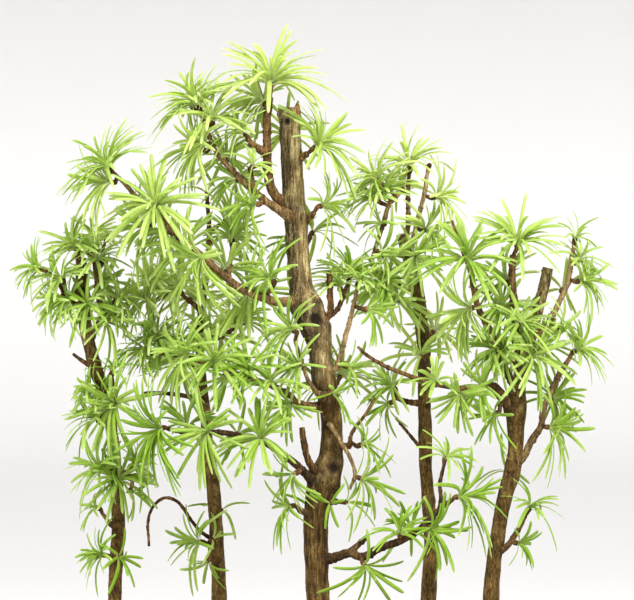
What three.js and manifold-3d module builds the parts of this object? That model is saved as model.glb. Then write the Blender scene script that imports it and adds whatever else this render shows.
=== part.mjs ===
// A forest planting of five golden larches in a shallow unglazed tray, in millimetres, +Z up.
// The trees are drawn on a front sheet. A point on it is [across, down, away, radius]: across and
// down from the sheet's top left corner, away from the viewer behind the main trunk, and the
// wood's own radius, all in sheet units.
import * as THREE from 'three';
import { mergeVertices } from 'three/addons/utils/BufferGeometryUtils.js';
import Module from 'manifold-3d';

const wasm = await Module();
wasm.setup();

const SHEET = {
  unit: 0.62, // mm in one sheet unit, at the main trunk
  across: 312, // sheet units from the left edge to the middle of the tray
  down: 600, // the line on the sheet that stands at height
  height: 125, // mm from the surface to that line
  eyeDown: 300, // the line on the sheet level with the eye
  eyeDistance: 1400, // mm from the eye to the main trunk
  forward: 12, // mm that the main trunk stands before the middle of the tray
};

const FIT = {
  gap: 0.3,
  heelGap: 0.4,
  needleGap: 0.4,
  shortest: 0.02, // a joined solid's edges shorter than this may be closed up
};

const TRAY = {
  length: 408,
  width: 226,
  height: 46,
  corner: 26,
  draft: 9, // how much narrower each side is at the foot than at the rim
  wall: 6.5,
  lip: 4, // how far the rim stands out
  lipHeight: 7,
  floorBottom: 8,
  floorTop: 15,
  fillet: 4,
  footLength: 54,
  footWidth: 30,
  holeRadius: 12,
  holeOffset: 105,
  cornerSteps: 4,
};

const SCREEN = { side: 30, thick: 1, openings: 2, opening: 9, pitch: 13 };

const CLIP = { radius: 0.8, span: 13, foot: 6 };

const SOIL = { rim: 4, mound: 9, rings: 3, slope: 1.6, crest: 6 };

const NEEDLE = {
  halfWidth: 1.5,
  keel: 1.1,
  widestAt: 0.56,
  rootClear: 0.45, // the share of the first length that may lie near its neighbours
  tries: 26,
};

const STEM = { stout: 2 }; // a stem with more than this radius at its heel has four sides, not three

const BUD = {
  radius: 2.1,
  halfHeight: 1.3,
  crown: 1.2,
  sunk: 2.5, // how far its foot runs into the stem
  seat: 4, // how far short of it a stem ends
  longSpur: 5.5, // a foot longer than this ends in a twig of twigRadius, not in a point
  twigRadius: 1.1,
};

// Angles from the bud's axis, in degrees, of the needles on each ring of bud faces.
const UMBRELLA = { crown: 34, shoulder: 70, skirt: 99, droop: 11 };

// Each trunk from below the soil to its sawn top, then the dead stubs and bare twigs it bears.
const TRUNKS = {
  trunk_far_left: {
    sides: 7,
    route: [
      [123, 746, 34, 9.6], [121, 722, 35, 8.8], [117, 680, 37, 7.4], [115, 630, 38, 6.9],
      [115, 585, 39, 6.8], [118, 530, 40, 6.7], [117, 490, 40, 6.5], [114, 450, 40, 6.1],
      [111, 425, 40, 6], [104, 392, 39, 6.4], [96, 370, 38, 6.6], [90, 348, 38, 6.3],
      [86, 328, 38, 6.5], [83, 305, 38, 6.5], [82, 282, 38, 6.3], [81, 258, 38, 5.6],
    ],
    stubs: [[[95, 367, 38, 2.4], [84, 362, 33, 2.1], [73, 354, 30, 1.4]]],
  },
  trunk_left: {
    sides: 7,
    route: [
      [224, 746, 66, 11], [222, 722, 67, 10.4], [221, 680, 68, 8.8], [220, 630, 69, 8.2],
      [219, 585, 70, 7.5], [217, 550, 70, 7], [215, 510, 70, 6.8], [212, 478, 70, 6.7],
      [208, 450, 70, 6], [206, 420, 70, 5.5], [203, 390, 69, 5], [200, 355, 68, 4.2],
      [200, 325, 67, 3.6], [204, 295, 66, 2.9], [208, 265, 65, 2.6], [209, 238, 64, 2.4],
    ],
    stubs: [
      [[214, 540, 68, 2], [200, 531, 62, 1.7], [189, 517, 57, 1.6], [178, 502, 54, 1.6],
        [164, 498, 52, 1.5], [153, 507, 50, 1.5], [148, 522, 50, 1.4], [149, 546, 52, 1.2]],
      [[203, 400, 69, 2.8], [180, 395, 62, 2.2], [158, 393, 58, 1.9], [142, 393, 56, 1.4]],
    ],
  },
  trunk_main: {
    sides: 10,
    route: [
      [323, 746, 4, 19], [322, 724, 4, 17.5], [320, 695, 3, 14.5], [319, 650, 2, 12.4],
      [318, 600, 1, 11.5], [316, 550, 0, 12], [316, 515, 0, 12.4], [321, 492, -1, 14.8],
      [324, 480, -1, 15.8], [331, 455, 0, 11.8], [332, 425, 0, 10.6], [329, 402, 0, 10.6],
      [324, 380, 0, 12], [321, 357, 0, 11.4], [318, 337, 0, 13.6], [311, 318, 0, 15.5],
      [305, 303, 0, 15.8], [301, 286, 0, 12], [298, 255, 0, 11.2], [296, 220, 0, 11.4],
      [293, 185, 0, 10.9], [291, 150, 0, 10.6], [289, 108, 0, 10.4],
    ],
    stubs: [
      [[317, 474, -6, 4], [308, 460, -13, 3.4], [304, 443, -14, 3.1], [302, 428, -14, 2.8]],
      [[320, 326, -4, 3.6], [330, 312, -7, 3.2], [330, 292, -6, 3], [329, 272, -5, 2.8]],
    ],
  },
  trunk_right: {
    sides: 7,
    route: [
      [421, 746, 52, 11], [423, 722, 52, 10.2], [425, 680, 53, 8.8], [427, 630, 54, 7.8],
      [429, 585, 55, 7.9], [431, 550, 55, 6.8], [429, 510, 55, 6.5], [426, 470, 55, 6.4],
      [425, 430, 55, 6.7], [424, 395, 55, 6.4], [424, 350, 54, 6.8], [421, 320, 53, 6.6],
      [418, 294, 52, 6.5], [411, 268, 50, 5.8], [402, 234, 46, 6],
    ],
    stubs: [[[425, 452, 52, 2], [414, 440, 42, 1.7], [396, 418, 36, 1.3]]],
  },
  trunk_far_right: {
    sides: 7,
    route: [
      [477, 746, 16, 12], [479, 722, 16, 11], [484, 680, 16, 9.2], [488, 635, 15, 8.4],
      [491, 600, 15, 8.1], [493, 572, 15, 7.8], [497, 540, 15, 7.4], [501, 515, 15, 7.5],
      [506, 492, 15, 7.6], [512, 472, 15, 8.6], [515, 452, 15, 7.8], [516, 428, 15, 8.4],
      [516, 405, 15, 10.6], [518, 390, 15, 8], [521, 374, 16, 5.6], [525, 353, 18, 5.5],
      [531, 335, 20, 5.9], [537, 312, 21, 6], [543, 290, 22, 5.6], [548, 268, 22, 5.5],
    ],
    stubs: [],
  },
};

// Each leafy shoot: its stems as routes, then its sprays of needles as
// [across, down, away, aim across, aim up, aim away, needle length].
const SHOOTS = {
  trunk_far_left: {
    far_left_upper_branch: {
      stems: [[[82, 303, 38, 3.2], [67, 297, 30, 2.7], [60, 285, 26, 2.3], [49, 273, 22, 2]]],
      sprays: [[41, 269, 20, -1, 0.1, -0.35, 37], [57, 298, 22, -0.8, -0.35, -0.5, 38]],
    },
    far_left_fork: {
      stems: [
        [[90, 336, 38, 4], [103, 316, 36, 3.2], [99, 300, 38, 3], [96, 270, 44, 2.7],
          [92, 247, 48, 2.2]],
        [[97, 269, 44, 2], [103, 263, 42, 1.7], [103, 250, 40, 1.6], [108, 233, 38, 1.3]],
      ],
      sprays: [[93, 240, 52, -0.1, 1, 0.5, 36], [107, 312, 31, 0.9, 0.1, -0.4, 34],
        [98, 285, 52, 0.5, 0.1, 0.9, 40]],
    },
    far_left_crown_spray: {
      stems: [[[81, 266, 36, 3], [78, 256, 25, 2.6]]],
      sprays: [[76, 249, 21, -0.65, 0.4, -0.7, 48]],
    },
    far_left_middle_whorl: {
      stems: [[[105, 394, 37, 3.6], [109, 392, 27, 3], [112, 386, 24, 2.6], [112, 379, 22, 2.2]]],
      sprays: [[112, 373, 20, 0.1, 1, -0.4, 36], [92, 387, 24, -1, 0.1, -0.3, 28],
        [117, 402, 20, -0.35, -0.45, -0.8, 55]],
    },
    far_left_low_whorl: {
      stems: [
        [[117, 480, 38, 3.2], [122, 475, 29, 2.7], [128, 470, 26, 2.2]],
        [[124, 473, 28, 2.1], [132, 481, 26, 1.9], [131, 488, 26, 1.7]],
      ],
      sprays: [[131, 466, 24, 1, 0.2, -0.3, 38], [117, 468, 24, -0.7, -0.1, -0.7, 36],
        [131, 491, 24, 0.7, -0.5, -0.5, 30]],
    },
    far_left_low_twig: {
      stems: [[[116, 528, 38, 2.6], [108, 521, 32, 2.1], [102, 513, 30, 1.8]]],
      sprays: [[98, 508, 29, -0.9, 0.2, -0.4, 28]],
    },
    far_left_base_whorl: {
      stems: [[[117, 557, 38, 3], [113, 556, 24, 2.6]]],
      sprays: [[104, 555, 21, -1, -0.05, -0.5, 38], [118, 557, 17, 0.5, -0.2, -0.9, 30]],
    },
  },
  trunk_left: {
    left_crown_twig: {
      stems: [[[209, 246, 64, 2.6], [209, 224, 63, 2.2], [207, 198, 61, 1.9]],
        [[209, 232, 64, 2.1], [216, 227, 62, 1.9], [223, 223, 60, 1.7]]],
      sprays: [[207, 194, 61, -0.1, 1, 0.2, 38], [225, 221, 60, 0.75, 0.4, 0.5, 38]],
    },
    left_upper_twig: {
      stems: [[[202, 312, 67, 2.6], [190, 301, 75, 2.1], [177, 291, 82, 1.8]]],
      sprays: [[173, 288, 84, -0.7, 0.4, 0.6, 42], [190, 300, 84, 0.2, 0.2, 1, 40]],
    },
    left_middle_right_twig: {
      stems: [[[202, 348, 68, 2.8], [220, 337, 77, 2.3], [239, 326, 84, 2]]],
      sprays: [[243, 323, 86, 0.7, 0.4, 0.5, 44], [222, 336, 88, -0.1, -0.1, 1, 40]],
    },
    left_middle_branch: {
      seed: 2,
      stems: [[[202, 374, 69, 3.2], [187, 363, 57, 2.6], [170, 352, 48, 2.2]]],
      sprays: [[187, 357, 46, -0.6, -0.6, -0.5, 62], [165, 349, 46, -0.8, 0.4, -0.3, 46],
        [178, 352, 62, -0.4, 0.2, 0.9, 40]],
    },
    left_low_whorl: {
      seed: 2,
      stems: [[[217, 546, 69, 3.2], [209, 545, 58, 2.7]]],
      sprays: [[201, 542, 54, -0.85, -0.2, -0.6, 46], [212, 540, 52, 0.7, 0.2, -0.7, 32],
        [209, 560, 56, -0.2, -0.8, -0.6, 30]],
    },
    left_back_spray: {
      stems: [[[215, 520, 72, 3], [219, 514, 82, 2.6]]],
      sprays: [[221, 511, 87, 0.3, 0.3, 0.9, 40]],
    },
  },
  trunk_main: {
    main_top_branch: {
      stems: [
        [[291, 206, 0, 5], [282, 202, -4, 4.8], [272, 190, -8, 4.6], [268, 172, -9, 4.5],
          [267, 145, -10, 4.2], [267, 118, -12, 4], [270, 98, -14, 3.4]],
        [[267, 153, -10, 3], [254, 146, -16, 3.3], [248, 139, -19, 2.4]],
      ],
      sprays: [[271, 86, -17, 0.1, 0.9, -0.45, 76, 4], [265, 104, 0, -0.5, 0.4, 0.8, 50],
        [245, 134, -20, -0.75, 0.6, -0.3, 44]],
    },
    main_upper_left_branch: {
      stems: [
        [[292, 217, -5, 4.4], [276, 208, -16, 3.9], [262, 198, -20, 3.6], [252, 189, -20, 3.4],
          [240, 178, -20, 3.1], [228, 166, -20, 2.8], [217, 153, -20, 2.5], [210, 138, -19, 2.2],
          [203, 118, -18, 1.9]],
        [[252, 189, -20, 2.4], [252, 177, -26, 2]],
      ],
      sprays: [[199, 107, -18, -0.5, 0.85, -0.3, 56, 4], [207, 144, -23, -0.95, -0.05, -0.4, 54],
        [252, 167, -30, 0.5, 0.5, -0.7, 34], [257, 204, -28, -0.85, -0.3, -0.55, 50],
        [226, 160, -8, 0, 0.5, 0.9, 40]],
    },
    main_top_right_spur: {
      stems: [[[296, 161, -1, 3.8], [307, 154, -6, 3]]],
      sprays: [[315, 147, -9, 0.8, 0.35, -0.5, 60, 4]],
    },
    main_upper_right_spur: {
      stems: [[[300, 226, 0, 3.6], [314, 213, -5, 2.9]]],
      sprays: [[321, 206, -8, 0.9, -0.1, -0.45, 50]],
    },
    main_middle_left_branch: {
      stems: [
        [[302, 300, -4, 5.6], [280, 302, -13, 4.6], [262, 297, -17, 4.3], [240, 288, -20, 4],
          [222, 274, -22, 3.7], [200, 254, -22, 3.3], [180, 238, -22, 3], [167, 225, -20, 2.8],
          [159, 213, -18, 2.6], [143, 204, -14, 2.4], [125, 184, -10, 2.1], [116, 175, -8, 1.9]],
        [[228, 279, -20, 2.6], [230, 262, -8, 2.2], [232, 248, 2, 1.9]],
      ],
      sprays: [[110, 169, -8, -0.65, 0.65, -0.45, 60, 4], [157, 207, -26, -0.15, 0.05, -1, 60, 4],
        [203, 257, -29, -0.55, -0.6, -0.6, 60], [272, 281, -26, -0.7, 0.3, -0.6, 50],
        [232, 241, 7, 0.1, 0.7, 0.7, 46], [150, 205, 0, -0.4, 0.3, 0.9, 46]],
    },
    main_left_branch: {
      stems: [[[323, 407, -3, 3.7], [300, 404, -15, 3.3], [288, 394, -22, 3], [270, 385, -26, 2.8],
        [250, 378, -28, 2.6], [225, 370, -28, 2.4], [203, 363, -28, 2.2], [195, 360, -28, 2]]],
      sprays: [[190, 356, -29, -0.85, 0.15, -0.5, 54], [250, 373, -34, -0.3, 0.3, -0.9, 46],
        [226, 374, -20, 0.1, -0.6, 0.8, 38], [292, 403, -25, -0.3, -0.5, -0.8, 36]],
    },
    main_front_twig: {
      stems: [
        [[324, 398, -7, 3], [318, 394, -16, 2.4], [308, 380, -19, 2], [302, 362, -21, 1.9],
          [295, 341, -22, 1.7]],
        [[318, 394, -16, 2.2], [327, 394, -20, 2.1]],
      ],
      sprays: [[294, 331, -23, -0.8, 0.15, -0.6, 46], [331, 393, -23, 0.6, -0.3, -0.8, 38]],
    },
    main_low_left_branch: {
      stems: [[[315, 484, -8, 4.6], [300, 468, -21, 3.9], [285, 456, -26, 3.6], [262, 441, -30, 3.2],
        [245, 437, -31, 3], [225, 433, -32, 2.8], [207, 432, -32, 2.5], [185, 432, -31, 2.3],
        [168, 429, -30, 2]]],
      sprays: [[262, 439, -37, -0.2, 0.15, -1, 50, 4], [208, 431, -39, -0.25, -0.35, -0.9, 54],
        [163, 428, -32, -0.7, -0.5, -0.6, 62, 4], [187, 428, -18, -0.1, 0.5, 0.9, 42],
        [237, 434, -16, 0.1, -0.2, 1, 40], [296, 473, -29, -0.7, -0.6, -0.4, 44]],
    },
    main_lowest_left_spur: {
      stems: [[[314, 516, -4, 3.4], [299, 510, -14, 2.8]]],
      sprays: [[292, 506, -17, -0.8, -0.35, -0.5, 46]],
    },
    main_low_front_spur: {
      stems: [[[326, 500, -6, 3.6], [337, 502, -18, 2.8]]],
      sprays: [[331, 503, -25, -0.3, -0.5, -0.9, 30], [345, 502, -21, 0.85, -0.3, -0.5, 38]],
    },
    main_low_right_branch: {
      seed: 2,
      stems: [
        [[320, 561, -2, 5.4], [336, 557, -12, 4.8], [350, 553, -20, 4.4], [363, 557, -25, 4.2],
          [380, 548, -28, 4], [400, 541, -30, 3.7], [418, 531, -31, 3.4], [430, 519, -31, 3.1],
          [442, 507, -30, 2.8], [452, 500, -29, 2.4]],
        [[350, 553, -20, 3], [360, 543, -22, 2.7], [368, 536, -23, 2.2]],
        [[441, 508, -30, 2.4], [441, 498, -30, 2], [440, 483, -28, 1.9], [444, 465, -27, 1.7]],
      ],
      sprays: [[364, 564, -34, 0.35, -0.75, -0.65, 50], [400, 535, -37, -0.1, 0.75, -0.7, 40],
        [429, 529, -37, 0.6, -0.4, -0.7, 50], [457, 497, -30, 1, -0.05, -0.35, 62],
        [445, 459, -27, 0.3, 0.6, -0.7, 38], [412, 533, -18, -0.1, 0.3, 1, 40]],
    },
    main_right_knee_spur: {
      stems: [
        [[334, 445, -1, 3.4], [350, 446, -9, 2.6]],
        [[349, 446, -9, 2], [353, 431, -12, 1.8], [365, 415, -13, 1.6], [375, 398, -13, 1.3]],
      ],
      sprays: [[360, 445, -13, 0.9, 0, -0.4, 44]],
    },
    main_looped_twig: {
      stems: [[[330, 424, -7, 2.4], [338, 437, -22, 1.9], [346, 450, -26, 1.9], [352, 462, -25, 1.9],
        [355, 475, -23, 1.9], [350, 489, -20, 1.5]]],
      sprays: [[360, 478, -24, 0.75, -0.45, -0.5, 56]],
    },
    main_right_twig: {
      seed: 2,
      stems: [[[325, 375, -2, 3.4], [336, 368, -11, 2.9], [341, 354, -13, 2.6], [346, 335, -14, 2.4],
        [351, 316, -14, 2.2], [354, 303, -14, 2.1], [357, 290, -14, 1.8]]],
      sprays: [[366, 309, -18, 0.75, -0.3, -0.6, 46], [347, 366, -20, 0.7, -0.3, -0.7, 34],
        [358, 284, -14, 0.5, 0.8, -0.2, 36]],
    },
    main_upper_right_twig: {
      stems: [[[317, 322, 2, 3.2], [335, 312, 9, 2.5], [342, 300, 11, 2.3], [346, 288, 12, 2]]],
      sprays: [[349, 280, 13, 0.2, 0.75, 0.2, 52]],
    },
    main_back_top_spur: {
      stems: [[[291, 152, 4, 3.2], [288, 142, 19, 2.6]]],
      sprays: [[287, 137, 26, -0.1, 0.5, 0.9, 48]],
    },
    main_back_upper_branch: {
      stems: [[[299, 252, 5, 3.6], [306, 244, 22, 3], [310, 237, 36, 2.5]]],
      sprays: [[312, 233, 42, 0.5, 0.4, 0.8, 50], [299, 243, 30, -0.75, 0.2, 0.7, 44]],
    },
    main_back_middle_branch: {
      stems: [[[326, 396, 6, 3.4], [333, 388, 24, 2.8], [338, 381, 38, 2.4]]],
      sprays: [[340, 377, 44, 0.4, 0.4, 0.8, 48], [327, 385, 34, -0.75, 0.1, 0.7, 42]],
    },
    main_back_low_spur: {
      stems: [[[317, 522, 5, 3.2], [313, 514, 20, 2.6]]],
      sprays: [[311, 510, 26, -0.3, 0.3, 0.9, 44]],
    },
  },
  trunk_right: {
    right_left_twig: {
      stems: [[[416, 290, 51, 3.2], [394, 284, 40, 2.6], [373, 267, 32, 2.3], [376, 247, 28, 2.1],
        [384, 222, 26, 2], [389, 206, 25, 1.9], [401, 192, 26, 1.4]]],
      sprays: [[385, 196, 24, -0.35, 0.8, -0.5, 48], [383, 224, 21, -0.85, -0.1, -0.5, 36],
        [380, 252, 22, 0.6, -0.5, -0.6, 52]],
    },
    right_tan_twig: {
      stems: [[[408, 258, 48, 3], [415, 232, 44, 2.6], [419, 214, 40, 2.3], [424, 195, 38, 2.1],
        [428, 170, 38, 1.8]]],
      sprays: [[435, 197, 36, 0.9, 0, -0.45, 48], [424, 230, 37, 0.5, -0.2, -0.8, 44],
        [429, 166, 40, 0.5, 0.8, 0.4, 38]],
    },
    right_crown_spray: {
      stems: [[[404, 247, 49, 2.8], [408, 226, 57, 2.4], [408, 196, 56, 2.2], [409, 174, 53, 2]]],
      sprays: [[410, 167, 50, -0.25, 0.8, -0.5, 50], [403, 190, 64, -0.4, 0.4, 0.8, 42]],
    },
    right_upper_spur: {
      stems: [[[413, 274, 48, 3.2], [415, 262, 34, 2.6]]],
      sprays: [[415, 256, 28, 0.1, -0.3, -0.95, 48]],
    },
    right_middle_spur: {
      stems: [[[424, 364, 52, 3.2], [423, 359, 39, 2.6]]],
      sprays: [[422, 356, 33, -0.3, 0.2, -0.9, 46]],
    },
    right_left_spur: {
      stems: [[[424, 403, 54, 3.2], [408, 402, 46, 2.6], [396, 398, 42, 2.2]]],
      sprays: [[390, 403, 40, -0.6, -0.6, -0.5, 36], [394, 388, 38, -0.6, 0.4, -0.7, 40]],
    },
    right_back_spur: {
      stems: [[[424, 344, 56, 3.2], [430, 336, 72, 2.6]]],
      sprays: [[433, 332, 78, 0.5, 0.3, 0.8, 46], [423, 333, 76, -0.8, 0.2, 0.6, 42]],
    },
  },
  trunk_far_right: {
    far_right_long_branch: {
      stems: [
        [[512, 408, 13, 6.2], [500, 394, 4, 5.2], [492, 386, -1, 4], [468, 389, -7, 2.8],
          [435, 384, -11, 2.4], [410, 376, -13, 2.2], [385, 366, -15, 2], [368, 356, -17, 1.8],
          [358, 347, -18, 1.4]],
        [[502, 394, 3, 3], [500, 406, -4, 2.5]],
      ],
      sprays: [[486, 387, -12, -0.7, -0.1, -0.75, 44], [497, 413, -7, -0.6, -0.6, -0.6, 40],
        [436, 383, -19, -0.1, 0.5, -0.85, 30]],
    },
    far_right_upright: {
      stems: [[[521, 377, 15, 4.7], [517, 362, 4, 4.2], [515, 330, 1, 3.9], [513, 290, -1, 3.7],
        [512, 270, -2, 3.5], [513, 256, -4, 3]]],
      sprays: [[517, 246, -7, 0.1, 0.75, -0.65, 60, 4], [518, 325, -10, 0.3, 0.45, -0.8, 48],
        [507, 347, -8, -0.6, -0.3, -0.75, 42], [508, 282, 8, -0.4, 0.3, 0.85, 44]],
    },
    far_right_left_branch: {
      stems: [
        [[517, 391, 10, 4.3], [506, 370, -8, 3.6], [491, 332, -13, 3.3], [480, 312, -14, 3.1],
          [475, 295, -15, 2.9], [471, 272, -15, 2.6]],
        [[471, 272, -15, 2.1], [461, 247, -12, 1.7], [452, 221, -10, 1.3]],
      ],
      sprays: [[468, 263, -20, -0.1, 0.4, -0.9, 60, 4], [472, 308, -20, -0.7, -0.5, -0.5, 54]],
    },
    far_right_front_spur: {
      stems: [[[525, 362, 16, 3.2], [531, 359, 4, 2.7]]],
      sprays: [[530, 357, -4, 0.3, -0.1, -0.9, 58]],
    },
    far_right_right_branch: {
      stems: [[[514, 466, 14, 4.2], [524, 456, 8, 3.8], [532, 440, 5, 3.5], [541, 426, 4, 3.3],
        [544, 408, 3, 3.1], [558, 377, 2, 2.8], [569, 359, 1, 2.5]]],
      sprays: [[575, 351, 0, 0.8, 0.3, -0.4, 46], [548, 427, -3, 0.8, -0.35, -0.5, 56],
        [551, 400, 10, 0.5, 0.1, 0.85, 42]],
    },
    far_right_pink_twig: {
      stems: [[[532, 336, 20, 3.6], [547, 326, 13, 3], [560, 300, 12, 2.7], [567, 285, 12, 2.6],
        [571, 265, 12, 2.4], [574, 246, 12, 2]]],
      sprays: [[560, 326, 5, 0.7, 0, -0.7, 38], [579, 281, 8, 0.85, -0.1, -0.45, 44],
        [575, 240, 13, 0.4, 0.9, 0.2, 38], [562, 290, 24, 0.2, 0.1, 1, 42]],
    },
    far_right_low_branch: {
      stems: [[[496, 553, 14, 3.6], [507, 546, 8, 3], [517, 532, 6, 2.7], [525, 516, 5, 2.3]]],
      sprays: [[529, 509, 4, 0.45, 0.6, -0.5, 42], [517, 543, 0, 0.7, -0.4, -0.6, 34]],
    },
    far_right_back_branch: {
      stems: [[[522, 374, 18, 3.6], [528, 364, 34, 3], [534, 353, 48, 2.6]]],
      sprays: [[536, 349, 54, 0.5, 0.4, 0.8, 48], [522, 359, 46, -0.7, 0.2, 0.7, 44]],
    },
    far_right_back_low_spur: {
      stems: [[[510, 484, 18, 3.2], [508, 476, 33, 2.6]]],
      sprays: [[507, 472, 39, -0.3, 0.3, 0.9, 44]],
    },
  },
};

const COLOURS = {
  clay: { color: '#6b4a3a', roughness: 0.8, metalness: 0 },
  soil: { color: '#4a3f33', roughness: 1, metalness: 0 },
  bark: { color: '#6b5238', roughness: 0.9, metalness: 0 },
  paleBark: { color: '#84705a', roughness: 0.9, metalness: 0 },
  needles: { color: '#8fc13f', roughness: 0.6, metalness: 0 },
  mesh: { color: '#2c2f2d', roughness: 0.6, metalness: 0 },
  wire: { color: '#b9b6ae', roughness: 0.4, metalness: 1 },
};

// The same seed gives the same trees each time.
function seeded(seed) {
  let state = seed;
  return () => {
    state = (state + 0x6d2b79f5) | 0;
    let t = Math.imul(state ^ (state >>> 15), 1 | state);
    t = (t + Math.imul(t ^ (t >>> 7), 61 | t)) ^ t;
    return ((t ^ (t >>> 14)) >>> 0) / 4294967296;
  };
}

let random = seeded(1729);
const between = (low, high) => low + (high - low) * random();

function scaleAt(away) {
  return SHEET.unit * (1 + (away * SHEET.unit) / SHEET.eyeDistance);
}

function placed([across, down, away]) {
  const scale = scaleAt(away);
  const eyeHeight = SHEET.height + (SHEET.down - SHEET.eyeDown) * SHEET.unit;
  return new THREE.Vector3(
    (across - SHEET.across) * scale,
    away * SHEET.unit - SHEET.forward,
    eyeHeight + (SHEET.eyeDown - down) * scale,
  );
}

// Closed solids and meshes

function solidOf(geometry) {
  const bare = new THREE.BufferGeometry();
  const flat = geometry.index ? geometry.toNonIndexed() : geometry;
  bare.setAttribute('position', flat.getAttribute('position'));
  const merged = mergeVertices(bare, 1e-4);
  return new wasm.Manifold(
    new wasm.Mesh({
      numProp: 3,
      vertProperties: new Float32Array(merged.attributes.position.array),
      triVerts: new Uint32Array(merged.index.array),
      tolerance: FIT.shortest,
    }),
  );
}

function meshOf(solid, name, look) {
  const { vertProperties, triVerts } = solid.getMesh();
  const geometry = new THREE.BufferGeometry();
  geometry.setAttribute('position', new THREE.BufferAttribute(new Float32Array(vertProperties), 3));
  geometry.setIndex(new THREE.BufferAttribute(new Uint32Array(triVerts), 1));
  geometry.computeVertexNormals();
  const mesh = new THREE.Mesh(geometry, new THREE.MeshStandardMaterial(look));
  mesh.name = name;
  return mesh;
}

function geometryOf(points, faces) {
  const geometry = new THREE.BufferGeometry();
  geometry.setAttribute(
    'position',
    new THREE.BufferAttribute(new Float32Array(points.flatMap((p) => [p.x, p.y, p.z])), 3),
  );
  geometry.setIndex(faces.flat());
  return geometry;
}

// Rings of equally many points joined in order, with the first and last ring closed by a fan.
function skinOf(rings) {
  const sides = rings[0].length;
  const points = rings.flat();
  const faces = [];
  for (let i = 0; i + 1 < rings.length; i += 1) {
    for (let k = 0; k < sides; k += 1) {
      const a = i * sides + k;
      const b = i * sides + ((k + 1) % sides);
      faces.push([a, b, b + sides], [a, b + sides, a + sides]);
    }
  }
  const last = points.length - sides;
  for (let k = 1; k + 1 < sides; k += 1) {
    faces.push([0, k + 1, k], [last, last + k, last + k + 1]);
  }
  return geometryOf(points, faces);
}

// A route in space: centres with the wood's radius at each.
function laidOut(route) {
  return route.map((point) => ({ at: placed(point), radius: point[3] * scaleAt(point[2]) }));
}

// Wood: a tapering tube round a route, its rings turned as little as possible from one to the next.
// A heel is the plane that the first ring lies in, where a stem stands on a trunk.
function woodOf(line, sides, swell = 0, heel = null) {
  let side = new THREE.Vector3(1, 0, 0);
  const rings = line.map(({ at, radius }, i) => {
    const before = line[Math.max(i - 1, 0)].at;
    const after = line[Math.min(i + 1, line.length - 1)].at;
    const along = after.clone().sub(before).normalize();
    side = side.clone().addScaledVector(along, -side.dot(along)).normalize();
    const other = along.clone().cross(side);
    return Array.from({ length: sides }, (_, k) => {
      const turn = (2 * Math.PI * k) / sides;
      const point = at
        .clone()
        .addScaledVector(side, (radius + swell) * Math.cos(turn))
        .addScaledVector(other, (radius + swell) * Math.sin(turn));
      if (!heel || i > 0) return point;
      return point.addScaledVector(along, -heel.distanceToPoint(point) / heel.normal.dot(along));
    });
  });
  return solidOf(skinOf(rings));
}

// The plane just off a trunk that a stem starting inside it stands on, or null for a side stem.
function heelOn(trunk, stem) {
  const [inside, outside] = stem.map(({ at }) => at);
  const line = new THREE.Line3();
  let near = null;
  for (let i = 0; i + 1 < trunk.length; i += 1) {
    line.set(trunk[i].at, trunk[i + 1].at);
    const share = line.closestPointToPointParameter(inside, true);
    const centre = line.at(share, new THREE.Vector3());
    const radius = THREE.MathUtils.lerp(trunk[i].radius, trunk[i + 1].radius, share);
    const along = line.delta(new THREE.Vector3()).normalize();
    const off = centre.distanceTo(inside);
    if (!near || off < near.off) near = { off, centre, radius, along };
  }
  if (near.off > near.radius) return null;
  const away = outside.clone().sub(near.centre);
  const normal = away.clone().addScaledVector(near.along, -away.dot(near.along));
  if (normal.length() < near.radius) {
    const top = trunk.at(-1).at.clone().addScaledVector(near.along, FIT.gap);
    return new THREE.Plane().setFromNormalAndCoplanarPoint(near.along, top);
  }
  normal.normalize();
  const span = 1.5 * stem[0].radius;
  const bulges = trunk
    .filter(({ at }) => Math.abs(at.clone().sub(near.centre).dot(near.along)) < span)
    .map(({ at, radius }) => at.clone().sub(near.centre).dot(normal) + radius);
  const reach = Math.max(near.radius, ...bulges) + FIT.heelGap;
  const foot = near.centre.clone().addScaledVector(normal, reach);
  return new THREE.Plane().setFromNormalAndCoplanarPoint(normal, foot);
}

// Room taken by wood and needles, kept as rods so that later needles can be bent clear

const rods = [];

function addRods(owner, line) {
  for (let i = 0; i + 1 < line.length; i += 1) {
    const radius = Math.max(line[i].radius, line[i + 1].radius);
    rods.push({ owner, from: line[i].at, to: line[i + 1].at, radius });
  }
}

// The nearest distance between two rods' middle lines.
function rodDistance(a, b) {
  const u = a.to.clone().sub(a.from);
  const v = b.to.clone().sub(b.from);
  const w = a.from.clone().sub(b.from);
  const uu = u.dot(u);
  const uv = u.dot(v);
  const vv = v.dot(v);
  const uw = u.dot(w);
  const vw = v.dot(w);
  const spread = uu * vv - uv * uv;
  const clamp = THREE.MathUtils.clamp;
  let s = spread > 1e-9 ? clamp((uv * vw - vv * uw) / spread, 0, 1) : 0;
  const t = clamp((uv * s + vw) / vv, 0, 1);
  s = clamp((uv * t - uw) / uu, 0, 1);
  return w.addScaledVector(u, s).addScaledVector(v, -t).length();
}

// Roots lie close together on their own shoot, so they keep clear of other shoots alone.
function isClear(rod) {
  const reach = rod.from.distanceTo(rod.to) + rod.radius + FIT.needleGap;
  return rods.every((other) => {
    if (rod.owner === other.owner && (rod.isRoot || other.isRoot)) return true;
    const room = other.radius + rod.radius + FIT.needleGap;
    const far = rod.from.distanceTo(other.from) > reach + room + other.from.distanceTo(other.to);
    return far || rodDistance(rod, other) > room;
  });
}

// Needles

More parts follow.
